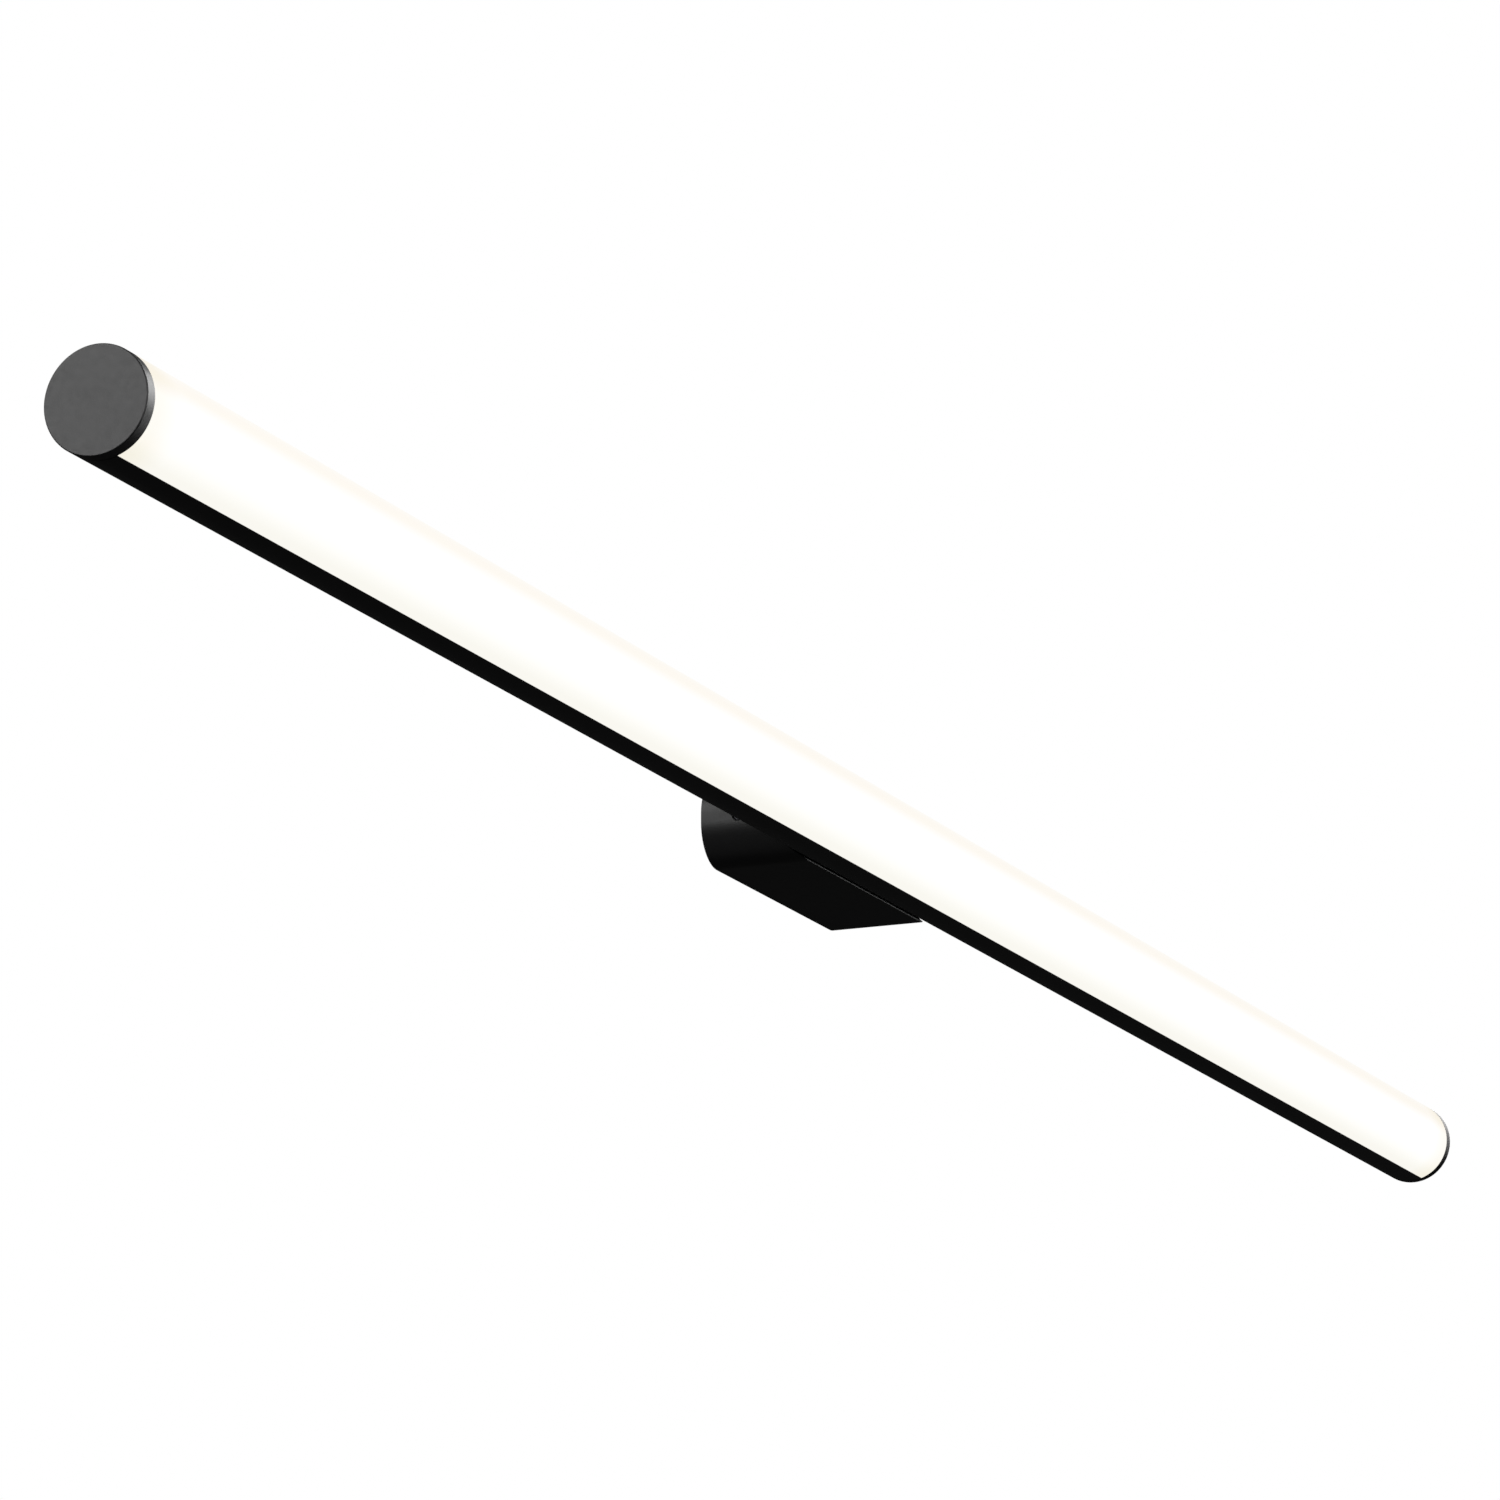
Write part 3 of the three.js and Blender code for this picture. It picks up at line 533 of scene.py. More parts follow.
def led_board():
    """White solder mask over faint tracks, with yellow phosphor where the LEDs stand up."""
    finish = Finish("led_board", IOR=1.5, Roughness=0.4)
    split = finish.add("ShaderNodeSeparateXYZ", {"Vector": finish.place})
    half_led = 0.45 * MM
    led = finish.math("LESS_THAN", split.outputs["Y"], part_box("led_board_1")[0].y + half_led)
    tracks = finish.add("ShaderNodeTexWave", {
        "Vector": finish.place, "Scale": 1 / (20 * MM), "Distortion": 1.5,
    }, bands_direction="Z").outputs["Fac"]
    mask = finish.ramp(tracks, [(0.45, (0.80, 0.80, 0.77)), (0.55, (0.86, 0.86, 0.84))])
    phosphor = finish.ramp(finish.noise(0.4 * MM), [(0.3, (0.80, 0.55, 0.06)), (0.7, (0.92, 0.70, 0.12))])
    finish.set("Base Color", finish.mix(led, mask, phosphor))
    finish.bump([(tracks, 0.01 * MM), (finish.noise(0.4 * MM), 0.002 * MM)])
    return finish.material


def circuit_green():
    """Green solder mask with paler copper tracks under it."""
    finish = Finish("circuit_green", IOR=1.5, Roughness=0.35)
    tracks = finish.add("ShaderNodeTexBrick", {
        "Vector": finish.place, "Scale": 1 / (9 * MM), "Mortar Size": 0.05,
        "Color1": (0.010, 0.085, 0.030, 1.0), "Color2": (0.012, 0.095, 0.036, 1.0),
        "Mortar": (0.05, 0.19, 0.07, 1.0),
    }).outputs["Color"]
    finish.set("Base Color", tracks)
    finish.bump([(finish.noise(0.5 * MM), 0.004 * MM)])
    return finish.material


def pale_floor():
    """Plain pale floor that fades to the white of the studio far from the light."""
    finish = Finish("pale_floor", Roughness=0.9, Specular_IOR_Level=0.1)
    reach = finish.add("ShaderNodeVectorMath", {0: finish.place}, operation="LENGTH").outputs["Value"]
    far = finish.between(reach, 0.0, 1.0)
    far.node.inputs["From Min"].default_value = 3.0
    far.node.inputs["From Max"].default_value = 11.0
    mottle = finish.noise(0.05, 4)
    near_colour = finish.ramp(mottle, [(0.3, (0.74, 0.735, 0.725)), (0.7, (0.78, 0.775, 0.765))])
    finish.set("Base Color", finish.mix(far, near_colour, (0.0, 0.0, 0.0, 1.0)))
    finish.set("Emission Color", finish.mix(far, (0.0, 0.0, 0.0, 1.0), (1.0, 1.0, 1.0, 1.0)))
    finish.shader.inputs["Emission Strength"].default_value = 1.0
    finish.bump([(finish.noise(0.004), 0.05 * MM)])
    return finish.material


FINISHES = {
    "black_powder_coat": black_powder_coat(),
    "opal_diffuser": opal_diffuser(),
    "black_rubber": moulded("black_rubber", (0.012, 0.012, 0.012), 0.25, 0.25 * MM, 0.72, 0.012 * MM),
    "grey_foam": foam("grey_foam", (0.055, 0.057, 0.062)),
    "board_white": led_board(),
    "board_green": circuit_green(),
    "connector_white": moulded("connector_white", (0.78, 0.76, 0.69), 0.05, 0.3 * MM, 0.42),
    "zinc_steel": zinc_steel(),
    "black_oxide": black_oxide(),
    "driver_white": moulded("driver_white", (0.72, 0.72, 0.70), 0.04, 0.35 * MM, 0.5, 0.012 * MM),
    "transformer_yellow": moulded("transformer_tape", (0.58, 0.36, 0.02), 0.12, 0.3 * MM, 0.4),
    "component_black": moulded("component_black", (0.012, 0.013, 0.017), 0.3, 0.3 * MM, 0.36),
    "terminal_natural": moulded("terminal_natural", (0.70, 0.66, 0.55), 0.06, 0.3 * MM, 0.42, 0.006 * MM),
    "lead_red": moulded("lead_red", (0.38, 0.012, 0.010), 0.12, 0.2 * MM, 0.42),
    "lead_black": moulded("lead_black", (0.010, 0.010, 0.010), 0.2, 0.2 * MM, 0.42),
    "lead_brown": moulded("lead_brown", (0.10, 0.032, 0.010), 0.12, 0.2 * MM, 0.42),
    "lead_blue": moulded("lead_blue", (0.012, 0.075, 0.33), 0.12, 0.2 * MM, 0.42),
}


def dress(piece, slot, body, *nodes):
    """Gives a piece its finish and its body, and lets it stand for its CAD nodes."""
    piece.data.materials.clear()
    piece.data.materials.append(FINISHES[slot])
    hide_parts(*nodes)
    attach(piece, body)
    return piece


# ---------------------------------------------------------------- the bar

def broken_edge(seam, width, side):
    """The softened outer edge at a seam, on its rear (1) or front (-1) side."""
    share = 0.3
    turn = side * share * width / RADIUS
    return [polar(RADIUS - share * width, seam + turn), polar(RADIUS - width, seam)]


def housing():
    """The round back of the bar, with its floor for the boards and its nut channel."""
    edge = 0.15 * MM
    groove_start = math.radians(82)
    groove_end = math.radians(91)
    outside = mirrored(
        arc(RADIUS, math.pi, SEAM + edge / RADIUS)
        + broken_edge(SEAM, edge, 1)
        + arc(LIP_INNER, SEAM, groove_start)
        + arc(GROOVE_INNER, groove_start, groove_end)
        + arc(INNER_RADIUS, groove_end, angle_at_depth(INNER_RADIUS, FLOOR_FRONT))
    )
    rail_outer = CHANNEL_HALF + RAIL_THICKNESS
    channel_y = AXIS_Y + CHANNEL_FRONT
    rail_y = channel_y - RAIL_THICKNESS
    chamber = mirrored(
        arc(INNER_RADIUS, math.pi, angle_at_height(INNER_RADIUS, CHANNEL_HALF))
        + [(channel_y, CHANNEL_HALF), (channel_y, RAIL_REACH)]
        + [(rail_y, RAIL_REACH), (rail_y, rail_outer)]
        + arc(INNER_RADIUS, angle_at_height(INNER_RADIUS, rail_outer),
              angle_at_depth(INNER_RADIUS, FLOOR_BACK))
    )
    piece = prism("bar_housing", [outside, chamber], -PROFILE_END, PROFILE_END, along_x)
    behind = AXIS_Y + RADIUS + MM
    back_wall = (AXIS_Y + INNER_RADIUS - 3 * MM, behind)
    floor_plate = (AXIS_Y + FLOOR_FRONT - MM, AXIS_Y + FLOOR_BACK + MM)
    places = [middle_of(screw) for screw in BOARD_SCREWS]
    boolean(piece, "DIFFERENCE", join(
        "bores",
        rod_along_y(BAR_SCREW_HOLE, *back_wall, -BAR_SCREW_X),
        rod_along_y(BAR_SCREW_HOLE, *back_wall, BAR_SCREW_X),
        rod_along_y(LEAD_HOLE, rail_y - MM, behind, LEAD_X),
        rod_along_y(BOARD_LEAD_HOLE, *floor_plate, 0.0),
        *[rod_along_y(BOARD_SCREW_HOLE, *floor_plate, place.x, place.z, 24) for place in places],
    ))
    clean(piece)
    smooth(piece)
    return dress(piece, "black_powder_coat", "luminaire", "housing_profile")


def diffuser():
    """The opal cover, shut against the housing all along, with a leg behind each edge."""
    shoulder = SEAM - SEAM_SHUT / RADIUS
    edge = 0.12 * MM
    bead_start = math.radians(84)
    leg_end = math.radians(88)
    leg_root = math.radians(67)
    section = mirrored(
        arc(RADIUS, 0, shoulder - edge / RADIUS)
        + broken_edge(shoulder, edge, -1)
        + arc(LEG_OUTER, shoulder, bead_start)
        + arc(GROOVE_INNER - GAP, bead_start, leg_end)
        + arc(LEG_INNER, leg_end, leg_root)
        + arc(INNER_RADIUS, leg_root, 0)
    )
    piece = prism("bar_diffuser", [section], -PROFILE_END, PROFILE_END, along_x)
    smooth(piece)
    return dress(piece, "opal_diffuser", "luminaire", "diffuser")


def end_cap(side, end):
    """A round cap with a softly broken edge, a seal groove, a hollow plug and two lugs."""
    face_fillet = 0.4 * MM
    inner_fillet = 0.12 * MM
    groove_inner = 14.3 * MM
    groove_outer = 16.3 * MM
    groove_floor = CAP_INNER + MM
    profile = filleted([
        (BAR_END, 0.0, 0.0),
        (BAR_END, RADIUS, face_fillet),
        (CAP_INNER, RADIUS, inner_fillet),
        (CAP_INNER, groove_outer, 0.0),
        (groove_floor, groove_outer, 0.0),
        (groove_floor, groove_inner, 0.0),
        (CAP_INNER, groove_inner, 0.0),
        (CAP_INNER, 0.0, 0.0),
    ], closed=False)

    def about_bar(u, v, depth):
        return Vector((end * depth, AXIS_Y + u, v))

    piece = lathe(f"bar_cap_{side}", profile, about_bar, 160)
    plug_reach = 5 * MM
    root = 2 * MM
    span = sorted((end * (CAP_INNER - plug_reach), end * (CAP_INNER + root)))
    plug_radius = LEG_INNER - 0.4 * MM
    depth = FLOOR_FRONT - GAP

    def d_outline(inset):
        radius = plug_radius - inset
        return mirrored(arc(radius, 0, angle_at_depth(radius, depth - inset)))

    plug = prism("plug", [d_outline(0.0), d_outline(WALL)], *span, along_x)
    front = FLOOR_BACK + GAP
    inner = CHANNEL_HALF + RAIL_THICKNESS + GAP
    upper = [(AXIS_Y + front, inner)] + arc(
        LEG_INNER, angle_at_depth(LEG_INNER, front), angle_at_height(LEG_INNER, inner))
    lower = [(y, -z) for y, z in upper]
    lugs = [prism("lug", [outline], *span, along_x) for outline in (upper, lower)]
    boolean(piece, "UNION", join("fittings", plug, *lugs))
    clean(piece)
    smooth(piece)
    return dress(piece, "black_powder_coat", "luminaire", f"end_cap_{side}")


# ---------------------------------------------------------------- the canopy

def front_of_canopy(z):
    """How far forward the canopy reaches at a height: flat near its edges, hollowed for the bar."""
    saddle = AXIS_Y + math.sqrt(SADDLE_RADIUS ** 2 - z ** 2)
    flat = CANOPY_LOW.y
    soft = 0.35 * MM
    return 0.5 * (saddle + flat + math.sqrt((saddle - flat) ** 2 + soft ** 2))


def inside_of_canopy(z):
    """How far forward the canopy's hollow reaches at a height: one wall behind the saddle."""
    return AXIS_Y + math.sqrt(SADDLE_BACK ** 2 - z ** 2)


def crowned_prism(name, half_x, half_z, corner, front, back, fillet):
    """A rounded rectangle along Y whose front follows front(z), with a fillet round its front edge."""
    rings = []
    count = 28
    crowding = 2.2  # draws the rings together near the fillet
    for k in range(count, 0, -1):
        inset = fillet + (half_z - fillet) * (k / count) ** crowding
        shape = rounded_rectangle(half_x - inset, half_z - inset, max(corner - inset, 0.0))
        rings.append([Vector((x, front(z), z)) for x, z in shape])
    steps = 6
    for k in range(steps + 1):
        turn = 0.5 * math.pi * k / steps
        inset = fillet * (1 - math.sin(turn))
        drop = fillet * (1 - math.cos(turn))
        shape = rounded_rectangle(half_x - inset, half_z - inset, corner - inset)
        rings.append([Vector((x, front(z) + drop, z)) for x, z in shape])
    outline = rounded_rectangle(half_x, half_z, corner)
    rings.append([Vector((x, back, z)) for x, z in outline])
    bm = bmesh.new()
    rows = loft(bm, rings)
    bm.faces.new(rows[-1])
    return mesh_object(name, bm)


def canopy():
    """The hollow black canopy, with ribs and bosses inside and a saddle in front for the bar."""
    half_x = CANOPY_HIGH.x
    half_z = CANOPY_HIGH.z
    back = CANOPY_HIGH.y
    front = CANOPY_LOW.y
    rim_fillet = 0.7 * MM
    inner_fillet = 0.3 * MM
    piece = crowned_prism(
        "canopy_shell", half_x, half_z, CANOPY_CORNER, front_of_canopy, back, rim_fillet)
    hollow = crowned_prism(
        "hollow", half_x - CANOPY_WALL, half_z - CANOPY_WALL, CANOPY_CORNER - CANOPY_WALL,
        inside_of_canopy, back + MM, inner_fillet)
    washer_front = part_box("bar_washer_left")[0].y
    terminal_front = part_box("terminal_block")[0].y
    bar_screws = (-BAR_SCREW_X, BAR_SCREW_X)
    innards = []
    for side in ("left", "right"):
        low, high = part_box(f"driver_pad_{side}")
        rib_front = Vector((low.x, front, -half_z))
        innards.append(block(rib_front, Vector((high.x, low.y - GAP, half_z))))
    seat_radius = 5 * MM
    innards += [rod_along_y(seat_radius, front, washer_front - GAP, x) for x in bar_screws]
    boss_radius = 3.2 * MM
    innards.append(rod_along_y(boss_radius, front, terminal_front - GAP, TERMINAL_X))
    socket_radius = 4.5 * MM
    socket_start = 60 * MM
    retaining_hole = 2.3 * MM
    holes = []
    for end in (1, -1):
        socket = sorted((end * socket_start, end * half_x))
        innards.append(rod_along_x(socket_radius, *socket, RETAINING_Y))
        through = sorted((end * (socket_start - MM), end * (half_x + MM)))
        holes.append(rod_along_x(retaining_hole, *through, RETAINING_Y))
    boolean(hollow, "DIFFERENCE", join("innards", *innards))
    boolean(piece, "DIFFERENCE", hollow)
    holes += [rod_along_y(BAR_SCREW_HOLE, front, washer_front + MM, x) for x in bar_screws]
    holes.append(rod_along_y(LEAD_HOLE, front, AXIS_Y + SADDLE_BACK + MM, LEAD_X))
    screw_floor = terminal_front - 3.3 * MM
    holes.append(rod_along_y(TERMINAL_SCREW_HOLE, screw_floor, terminal_front + MM, TERMINAL_X))
    boolean(piece, "DIFFERENCE", join("holes", *holes))
    clean(piece)
    smooth(piece)
    return dress(piece, "black_powder_coat", "luminaire", "canopy_cover")


# ---------------------------------------------------------------- smaller pieces

def cad_mesh(node):
    """A bmesh copy of a CAD node, its loose triangles joined into one skin."""
    bm = bmesh.new()
    bm.from_mesh(frame["nodes"][node].data)
    bmesh.ops.remove_doubles(bm, verts=bm.verts, dist=WELD)
    return bm


def refined(name, node, width, segments=2):
    """A copy of a CAD node with its flat faces made whole and its edges rounded."""
    bm = cad_mesh(node)
    bmesh.ops.dissolve_limit(bm, angle_limit=math.radians(1), verts=bm.verts, edges=bm.edges)
    return smooth(round_edges(mesh_object(name, bm), width, segments))


def lid_details():
    """A shallow panel in the driver lid's face, with three vent slots at each end of it."""
    low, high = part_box("driver_lid")
    face = high.y + MM

    def cut(start, end, depth, half_height):
        tool_low = Vector((start, high.y - depth, -half_height))
        return block(tool_low, Vector((end, face, half_height)))

    panel_depth = 0.25 * MM
    margin = 9 * MM
    tools = [cut(low.x + margin, high.x - margin, panel_depth, 8 * MM)]
    half_slot = 0.5 * MM
    pitch = 2 * MM
    first = 3 * MM
    count = 3
    for start in (low.x + first, high.x - first - count * pitch + pitch):
        for i in range(count):
            x = start + i * pitch
            tools.append(cut(x - half_slot, x + half_slot, 2 * panel_depth, 5 * MM))
    return join("lid_details", *tools)


def case_details():
    """A row of shallow grooves across each long side of the driver case."""
    low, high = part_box("driver_case")
    depth = 0.3 * MM
    half_groove = 0.5 * MM
    margin = 3 * MM
    first = 10 * MM
    pitch = 5 * MM
    tools = []
    for side in (-1, 1):
        z_low, z_high = sorted((side * (high.z - depth), side * (high.z + MM)))
        for i in range(9):
            x = low.x + first + i * pitch
            groove_low = Vector((x - half_groove, low.y + margin, z_low))
            tools.append(block(groove_low, Vector((x + half_groove, high.y - margin, z_high))))
    return join("case_details", *tools)


DETAILS = {"driver_lid": lid_details, "driver_case": case_details}


def rounded_screw(name, place, head, shank, pitch, sides=24):
    """A screw as one skin: a (depth, radius) head profile, then a threaded shank to its tip.

    shank is (start, tip, radius) as depths; a depth grows from the head towards the tip.
    """
    start, tip, radius = shank
    turns = [2 * math.pi * i / sides for i in range(sides)]
    rings = [[place(r * math.cos(a), r * math.sin(a), depth) for a in turns] for depth, r in head]
    thread = 0.28 * pitch  # depth of its notch
    steps_a_turn = 6
    count = round((tip - start) / pitch * steps_a_turn)
    for step in range(count + 1):
        depth = start + (tip - start) * step / count
        turns_to_tip = max((tip - depth) / pitch, 0.0)
        runout = min(1.0, (depth - start) / pitch, turns_to_tip)
        narrow = thread * (1 - min(1.0, turns_to_tip))
        ring = []
        for a in turns:
            phase = (depth / pitch - a / (2 * math.pi)) % 1.0
            r = radius - thread * abs(2 * phase - 1) * runout - narrow
            ring.append(place(r * math.cos(a), r * math.sin(a), depth))
        rings.append(ring)
    rings.append([place(0.0, 0.0, tip)] * sides)
    bm = bmesh.new()
    loft(bm, rings)
    bmesh.ops.remove_doubles(bm, verts=bm.verts, dist=WELD)
    bmesh.ops.dissolve_degenerate(bm, edges=bm.edges, dist=WELD / 4)
    return mesh_object(name, bm)


def cross_recess(place, top, depth, size):
    """A tool for a cross recess: two tapered blades that meet on the screw's line."""
    slimness = 0.24
    levels = ((top - 0.5 * depth, 1.15), (top + depth, 0.5))  # wide above the head, narrow below

    def blade(crossed):
        rings = []
        for level, share in levels:
            long = size * share
            thin = slimness * size * share
            u, v = (thin, long) if crossed else (long, thin)
            corners = ((u, v), (-u, v), (-u, -v), (u, -v))
            rings.append([place(*corner, level) for corner in corners])
        bm = bmesh.new()
        for row in loft(bm, rings):
            bm.faces.new(row)
        return mesh_object("blade", bm)

    return boolean(blade(False), "UNION", blade(True))


def screw_along_y(name, node, side, pitch, kind, sides=24):
    """A pan-head screw in place of a CAD one; its head is at its low (-1) or high (1) Y end."""
    low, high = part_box(node)
    middle = middle_of(node)
    length = high.y - low.y
    head_radius = (high.x - low.x) / 2
    head_y = high.y if side > 0 else low.y
    shank_radius, head_height = SCREW_SIZES[kind]

    def place(u, v, depth):
        return Vector((middle.x + u, head_y - side * depth, middle.z + v))

    profile = filleted([
        (0.0, 0.0, 0.0),
        (0.0, head_radius, 0.45 * head_height),
        (head_height, head_radius, 0.06 * head_height),
        (head_height, shank_radius, 0.0),
    ], closed=False)
    piece = rounded_screw(name, place, profile, (head_height, length, shank_radius), pitch, sides)
    boolean(piece, "DIFFERENCE", cross_recess(place, 0.0, 0.5 * head_height, 0.52 * head_radius))
    clean(piece)
    smooth(piece)
    return dress(piece, "zinc_steel", frame["nodes"][node]["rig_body"], node)


def grub_screw(side, end):
    """A headless screw with a hexagon socket and a cone point, in an end of the canopy."""
    node = f"retaining_screw_{side}"
    radius = size_of(node).z / 2
    length = size_of(node).x
    outer_x = middle_of(node).x + end * length / 2

    def place(u, v, depth):
        return Vector((outer_x - end * depth, RETAINING_Y + u, v))

    chamfer = 0.3 * MM
    pitch = 0.7 * MM
    thread_end = length - MM
    profile = [(0.0, 0.0), (0.0, radius - chamfer), (chamfer, radius - 0.05 * MM)]
    shank = (chamfer, thread_end, radius)
    piece = rounded_screw(f"grub_screw_{side}", place, profile, shank, pitch)
    point_start = thread_end - 0.3 * MM
    point_radius = radius - 0.4 * MM
    flat_radius = 0.5 * MM
    boolean(piece, "UNION", lathe("point", [
        (point_start, 0), (point_start, point_radius), (thread_end, point_radius),
        (length, flat_radius), (length, 0),
    ], place, 24))
    socket_radius = 1.1 * MM
    socket_depth = 2 * MM
    drill_tip = 2.4 * MM
    above = -0.5 * MM
    boolean(piece, "DIFFERENCE", lathe("socket", [
        (above, 0), (above, socket_radius), (socket_depth, socket_radius), (drill_tip, 0),
    ], place, 6))
    clean(piece)
    smooth(piece)
    return dress(piece, "black_oxide", f"screw_{side}", node)


def ring_along_y(name, node, corners, slot):
    """A ring about the Y line through a CAD node, from (depth, radius, fillet) corners."""
    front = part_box(node)[0].y
    middle = middle_of(node)

    def place(u, v, depth):
        return Vector((middle.x + u, front + depth, middle.z + v))

    profile = filleted(corners)
    piece = lathe(name, profile + profile[:1], place)
    smooth(piece)
    return dress(piece, slot, frame["nodes"][node]["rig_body"], node)


def washer(side):
    node = f"bar_washer_{side}"
    thickness = size_of(node).y
    outer = size_of(node).x / 2
    edge = 0.16 * MM
    inner = BAR_SCREW_HOLE
    return ring_along_y(f"fine_washer_{side}", node, [
        (0, inner, edge), (0, outer, edge), (thickness, outer, edge), (thickness, inner, edge),
    ], "zinc_steel")


def grommets():
    """The two rubber bushes, each a sleeve with a rounded flange."""
    length = size_of("lead_grommet").y
    outer = size_of("lead_grommet").x / 2
    flange = 1.2 * MM
    sleeve = 4.7 * MM
    bore = 3.2 * MM
    ring_along_y("fine_lead_grommet", "lead_grommet", [
        (0, bore, 0.5 * MM), (0, sleeve, 0.4 * MM), (length - flange, sleeve, 0.2 * MM),
        (length - flange, outer, 0.4 * MM), (length, outer, 0.5 * MM), (length, bore, 0.6 * MM),
    ], "black_rubber")
    length = size_of("supply_grommet").y
    outer = size_of("supply_grommet").x / 2
    flange = 1.6 * MM
    sleeve = 6.0 * MM
    bore = 4.4 * MM
    ring_along_y("fine_supply_grommet", "supply_grommet", [
        (0, bore, 0.5 * MM), (0, outer, 0.5 * MM), (flange, outer, 0.5 * MM),
        (flange, sleeve, 0.2 * MM), (length, sleeve, 0.3 * MM), (length, bore, 0.3 * MM),
    ], "black_rubber")


def smooth_lead(node):
    """A CAD lead made round: its skin subdivided, then let out to its full thickness again."""
    shrinkage = 0.055 * MM
    bm = cad_mesh(node)
    bmesh.ops.join_triangles(
        bm, faces=bm.faces, cmp_sharp=False,
        angle_face_threshold=math.radians(40), angle_shape_threshold=math.radians(90))
    piece = mesh_object(f"fine_{node}", bm)
    modifier = piece.modifiers.new("round", "SUBSURF")
    modifier.levels = 2
    modifier.render_levels = 2
    modifier = piece.modifiers.new("let_out", "DISPLACE")
    modifier.mid_level = 0.0
    modifier.strength = shrinkage
    apply_modifiers(piece)
    smooth(piece, math.radians(60))
    return dress(piece, node_slot(node), frame["nodes"][node]["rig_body"], node)


def foam_piece(node):
    """A strip or ring of soft foam, its rounded skin dipping in shallow ripples."""
    ripple_depth = 0.05 * MM
    edge = 0.35 * MM
    piece = refined(f"fine_{node}", node, edge, 3)
    middle = middle_of(node)
    bm = bmesh.new()
    bm.from_mesh(piece.data)
    bmesh.ops.triangulate(bm, faces=[face for face in bm.faces if len(face.verts) > 4])
    longest = 3 * MM
    long_edges = [line for line in bm.edges if line.calc_length() > longest]
    bmesh.ops.subdivide_edges(bm, edges=long_edges, cuts=3, use_grid_fill=True)
    for vertex in bm.verts:
        x = (vertex.co.x - middle.x) / MM
        z = (vertex.co.z - middle.z) / MM
        ripple = 0.5 + 0.25 * math.sin(0.9 * x + 0.4 * z) + 0.25 * math.sin(0.5 * x - 1.1 * z)
        inward = 1 if vertex.co.y < middle.y else -1
        vertex.co.y += inward * ripple_depth * ripple
    bm.to_mesh(piece.data)
    bm.free()
    clean(piece)
    smooth(piece)
    dress(piece, "grey_foam", frame["nodes"][node]["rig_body"], node)
    return piece


def node_slot(node):
    rows = frame["record"]["subparts"]
    return next(row["material_slot"] for row in rows if row["node"] == node)


def carry_over():
    """Every CAD node that is still shown gets its slot's finish."""
    for name, node in frame["nodes"].items():
        if node.hide_render:
            continue
        finish = FINISHES[node_slot(name)]
        if node.material_slots:
            for socket in node.material_slots:
                socket.material = finish
        else:
            node.data.materials.append(finish)


# ---------------------------------------------------------------- the studio

def aim(thing, place, target):
    thing.location = place
    thing.rotation_euler = (target - place).to_track_quat("-Z", "Y").to_euler()


def camera():
    data = bpy.data.cameras.new("camera")
    data.lens = CAMERA_LENS
    data.sensor_width = 36.0
    thing = bpy.data.objects.new("camera", data)
    scene.collection.objects.link(thing)
    aim(thing, CAMERA_PLACE, CAMERA_AIM)
    scene.camera = thing


def softbox(name, place, target, width, height, radiance):
    """A soft rectangular light of a given radiance, never seen by the camera itself."""
    data = bpy.data.lights.new(name, "AREA")
    data.shape = "RECTANGLE"
    data.size = width
    data.size_y = height
    data.energy = radiance * math.pi * width * height
    thing = bpy.data.objects.new(name, data)
    scene.collection.objects.link(thing)
    aim(thing, place, target)
    thing.visible_camera = False


def studio_world():
    """White to the camera, a dim sky to gloss, and a soft white dome to everything else."""
    world = bpy.data.worlds.new("studio")
    scene.world = world
    world.use_nodes = True
    tree = world.node_tree
    tree.nodes.clear()

    def add(kind, **inputs):
        node = tree.nodes.new(kind)
        for socket, value in inputs.items():
            target = node.inputs[socket.replace("_", " ")]
            if isinstance(value, bpy.types.NodeSocket):
                tree.links.new(value, target)
            else:
                target.default_value = value
        return node

    ray = add("ShaderNodeLightPath")
    direction = add("ShaderNodeTexCoord").outputs["Generated"]
    height = add("ShaderNodeSeparateXYZ", Vector=direction).outputs["Z"]
    shares = add("ShaderNodeMapRange", Value=height, From_Min=-1.0, From_Max=1.0).outputs["Result"]

    def sky(stops):
        node = add("ShaderNodeValToRGB", Fac=shares)
        elements = node.color_ramp.elements
        while len(elements) < len(stops):
            elements.new(0.5)
        for element, (position, colour) in zip(elements, stops):
            element.position = position
            element.color = (*colour, 1.0)
        return add("ShaderNodeBackground", Color=node.outputs["Color"]).outputs[0]

    gloss = sky([(0.5, grey(0.019)), (0.72, grey(0.03)), (0.95, grey(0.3))])
    dome = sky([(0.4, grey(0.12)), (0.6, grey(0.8))])
    white = add("ShaderNodeBackground", Color=(1.0, 1.0, 1.0, 1.0), Strength=1.0).outputs[0]

    def choose(factor, first, second):
        node = add("ShaderNodeMixShader", Fac=factor)
        tree.links.new(first, node.inputs[1])
        tree.links.new(second, node.inputs[2])
        return node.outputs[0]

    unseen = choose(ray.outputs["Is Glossy Ray"], dome, gloss)
    seen = choose(ray.outputs["Is Camera Ray"], unseen, white)
    output = tree.nodes.new("ShaderNodeOutputWorld")
    tree.links.new(seen, output.inputs["Surface"])


def floor():
    """A wide disc below the bar; what the bar mirrors and its soft light leave the disc out."""
    bm = bmesh.new()
    bmesh.ops.create_circle(bm, cap_ends=True, radius=40.0, segments=96)
    ground = mesh_object("floor", bm)
    ground.location.z = FLOOR_HEIGHT
    ground.data.materials.append(pale_floor())
    ground.visible_glossy = False
    ground.visible_diffuse = False
    return ground


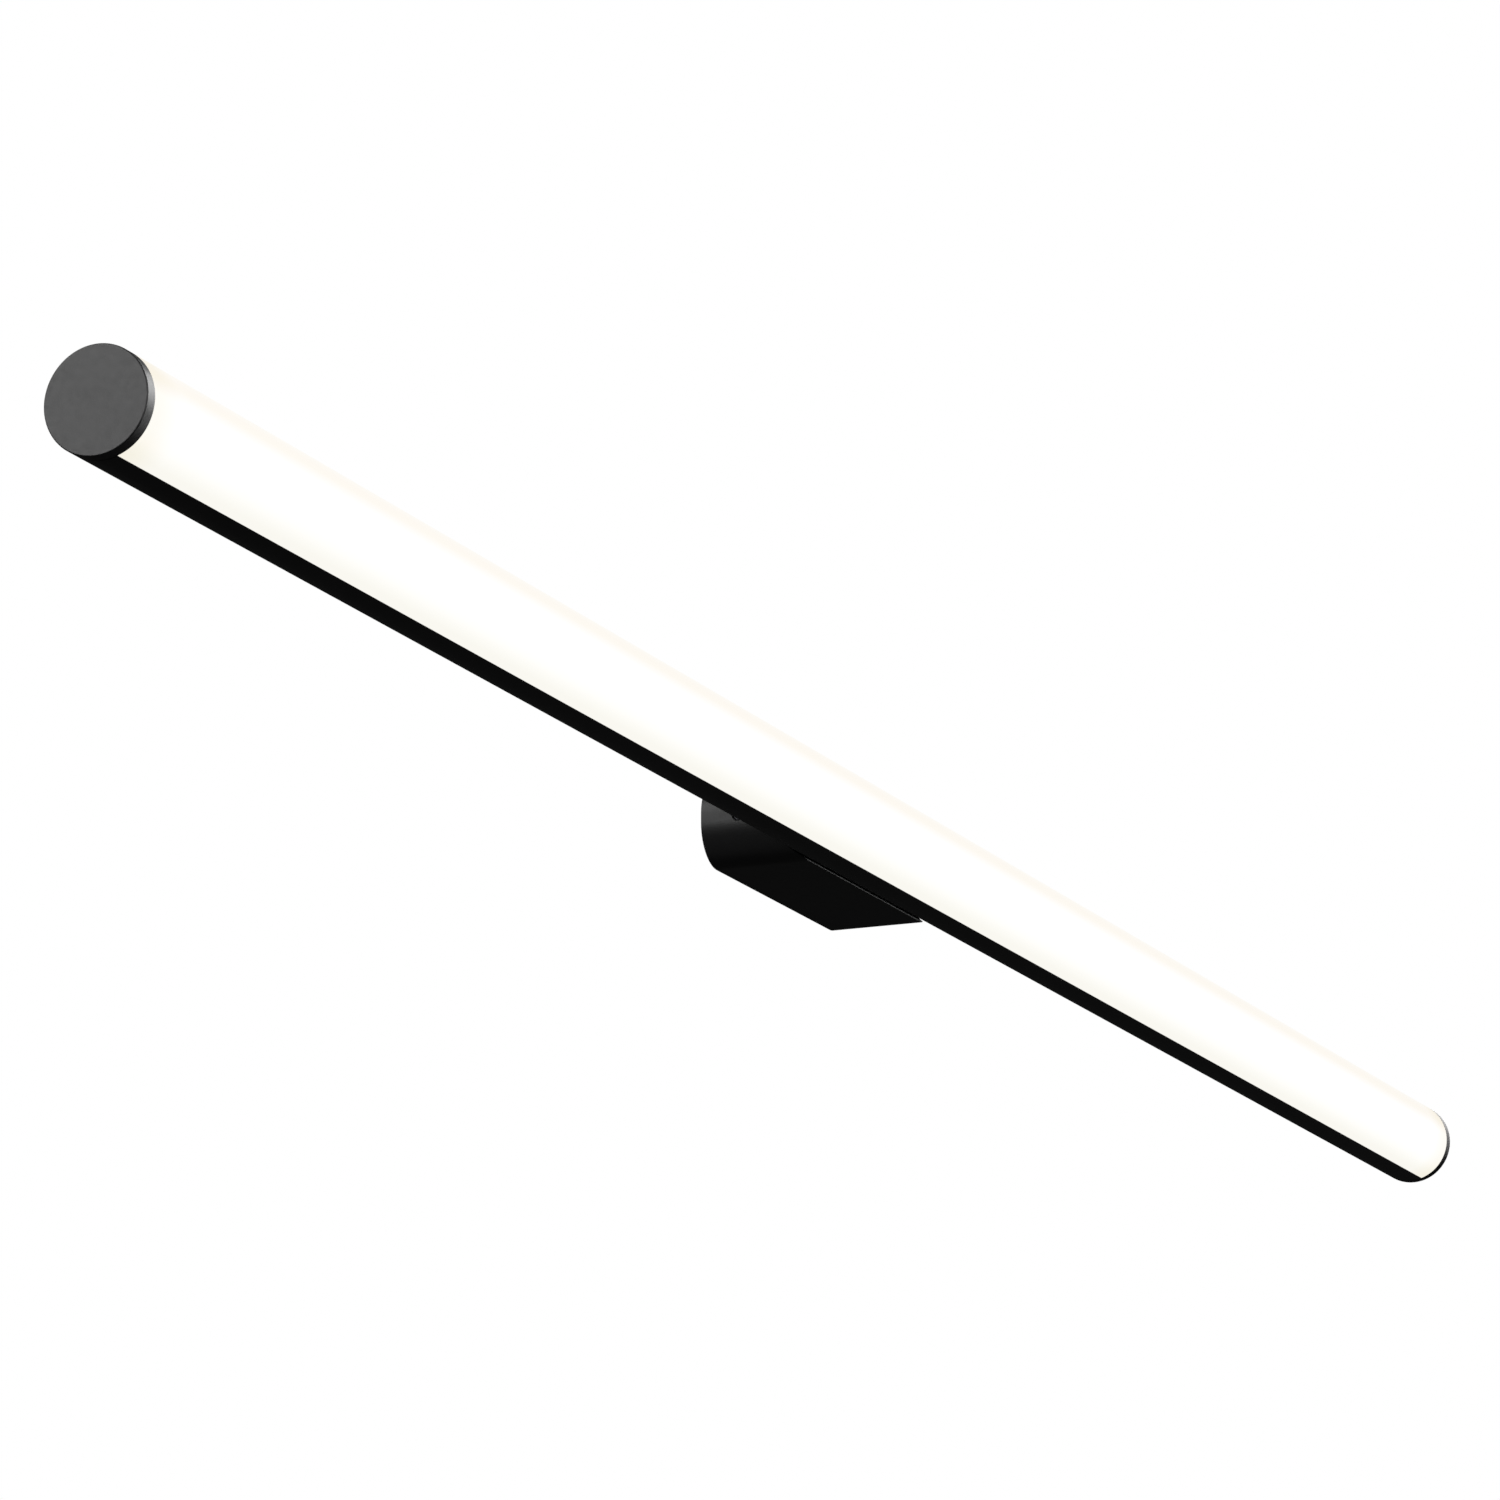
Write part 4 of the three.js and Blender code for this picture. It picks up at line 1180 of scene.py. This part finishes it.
def lights():
    """Softboxes placed by what each face of the object mirrors towards the camera."""
    left_cap = Vector((-BAR_END, AXIS_Y, 0.0))
    middle = Vector((0.0, AXIS_Y, 0.0))
    right_cap = Vector((BAR_END, AXIS_Y, 0.0))
    softbox("left_softbox", left_cap + 5.0 * Vector((-0.729, 0.52, 0.446)), left_cap, 2.5, 2.9, 6.4)
    softbox("canopy_left_softbox", 5.0 * Vector((-0.733, 0.52, 0.436)), middle, 2.5, 3.0, 4.6)
    softbox("far_softbox", left_cap + Vector((2.55, -0.84, 0.93)), left_cap, 1.45, 1.4, 6.8)
    softbox("edge_softbox", left_cap + 2.5 * Vector((-0.46, -0.82, 0.22)), left_cap, 1.8, 1.8, 4.0)
    softbox("low_softbox", 3.0 * Vector((0.89, -0.43, -0.15)), middle, 1.2, 1.0, 1.9)
    softbox("right_softbox", right_cap + 2.0 * Vector((0.93, 0.0, 0.27)), right_cap, 1.1, 1.0, 3.7)
    softbox("canopy_softbox", 3.0 * Vector((-0.42, 0.38, -0.82)), middle, 2.6, 2.6, 0.075)
    softbox("back_softbox", Vector((0.5, 2.2, 1.3)), middle, 3.0, 2.4, 1.1)
    softbox("camera_fill", CAMERA_PLACE + Vector((0.3, -0.3, -0.5)), middle, 0.8, 0.8, 0.17)
    softbox("top_softbox", Vector((0.0, -1.4, 2.4)), middle, 2.4, 1.8, 1.2)


def link(light, state, *pieces):
    """Lets a light reach only these pieces (INCLUDE), or all but these (EXCLUDE)."""
    lit = bpy.data.collections.new(f"{light}_{state.lower()}")
    for piece in pieces:
        lit.objects.link(piece)
    for entry in lit.collection_objects:
        entry.light_linking.link_state = state
    bpy.data.objects[light].light_linking.receiver_collection = lit


camera()
studio_world()
ground = floor()
lights()
scene.view_settings.view_transform = "Standard"

back_of_bar = housing()
opal = diffuser()
left_end = end_cap("left", -1)
right_end = end_cap("right", 1)
shell = canopy()
link("left_softbox", "EXCLUDE", ground, shell)
link("canopy_left_softbox", "INCLUDE", shell)
link("far_softbox", "EXCLUDE", ground, opal, right_end)
link("edge_softbox", "INCLUDE", left_end)
link("low_softbox", "EXCLUDE", ground, opal, right_end)
link("right_softbox", "INCLUDE", right_end)
link("canopy_softbox", "INCLUDE", shell)
link("back_softbox", "EXCLUDE", ground, back_of_bar, opal, left_end, right_end, shell)
link("camera_fill", "EXCLUDE", ground)
link("top_softbox", "EXCLUDE", ground, opal, left_end, right_end)
for node, (width, slot) in REFINED.items():
    piece = refined(f"fine_{node}", node, width)
    if node in DETAILS:
        boolean(piece, "DIFFERENCE", DETAILS[node]())
        smooth(piece)
    dress(piece, slot, frame["nodes"][node]["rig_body"], node)
for side, end in (("left", -1), ("right", 1)):
    grub_screw(side, end)
    washer(side)
    screw_along_y(f"fine_bar_screw_{side}", f"bar_screw_{side}", 1, 0.7 * MM, "bar")
screw_along_y("fine_terminal_fixing", "terminal_fixing_screw", 1, 0.6 * MM, "terminal")
for screw in BOARD_SCREWS:
    screw_along_y(f"fine_{screw}", screw, -1, 0.45 * MM, "board", 16)
grommets()
for lead in ("led_lead_positive", "led_lead_negative", "mains_lead_live", "mains_lead_neutral"):
    smooth_lead(lead)
for foam_node in ("wall_gasket", "driver_pad_left", "driver_pad_right"):
    foam_piece(foam_node)
carry_over()
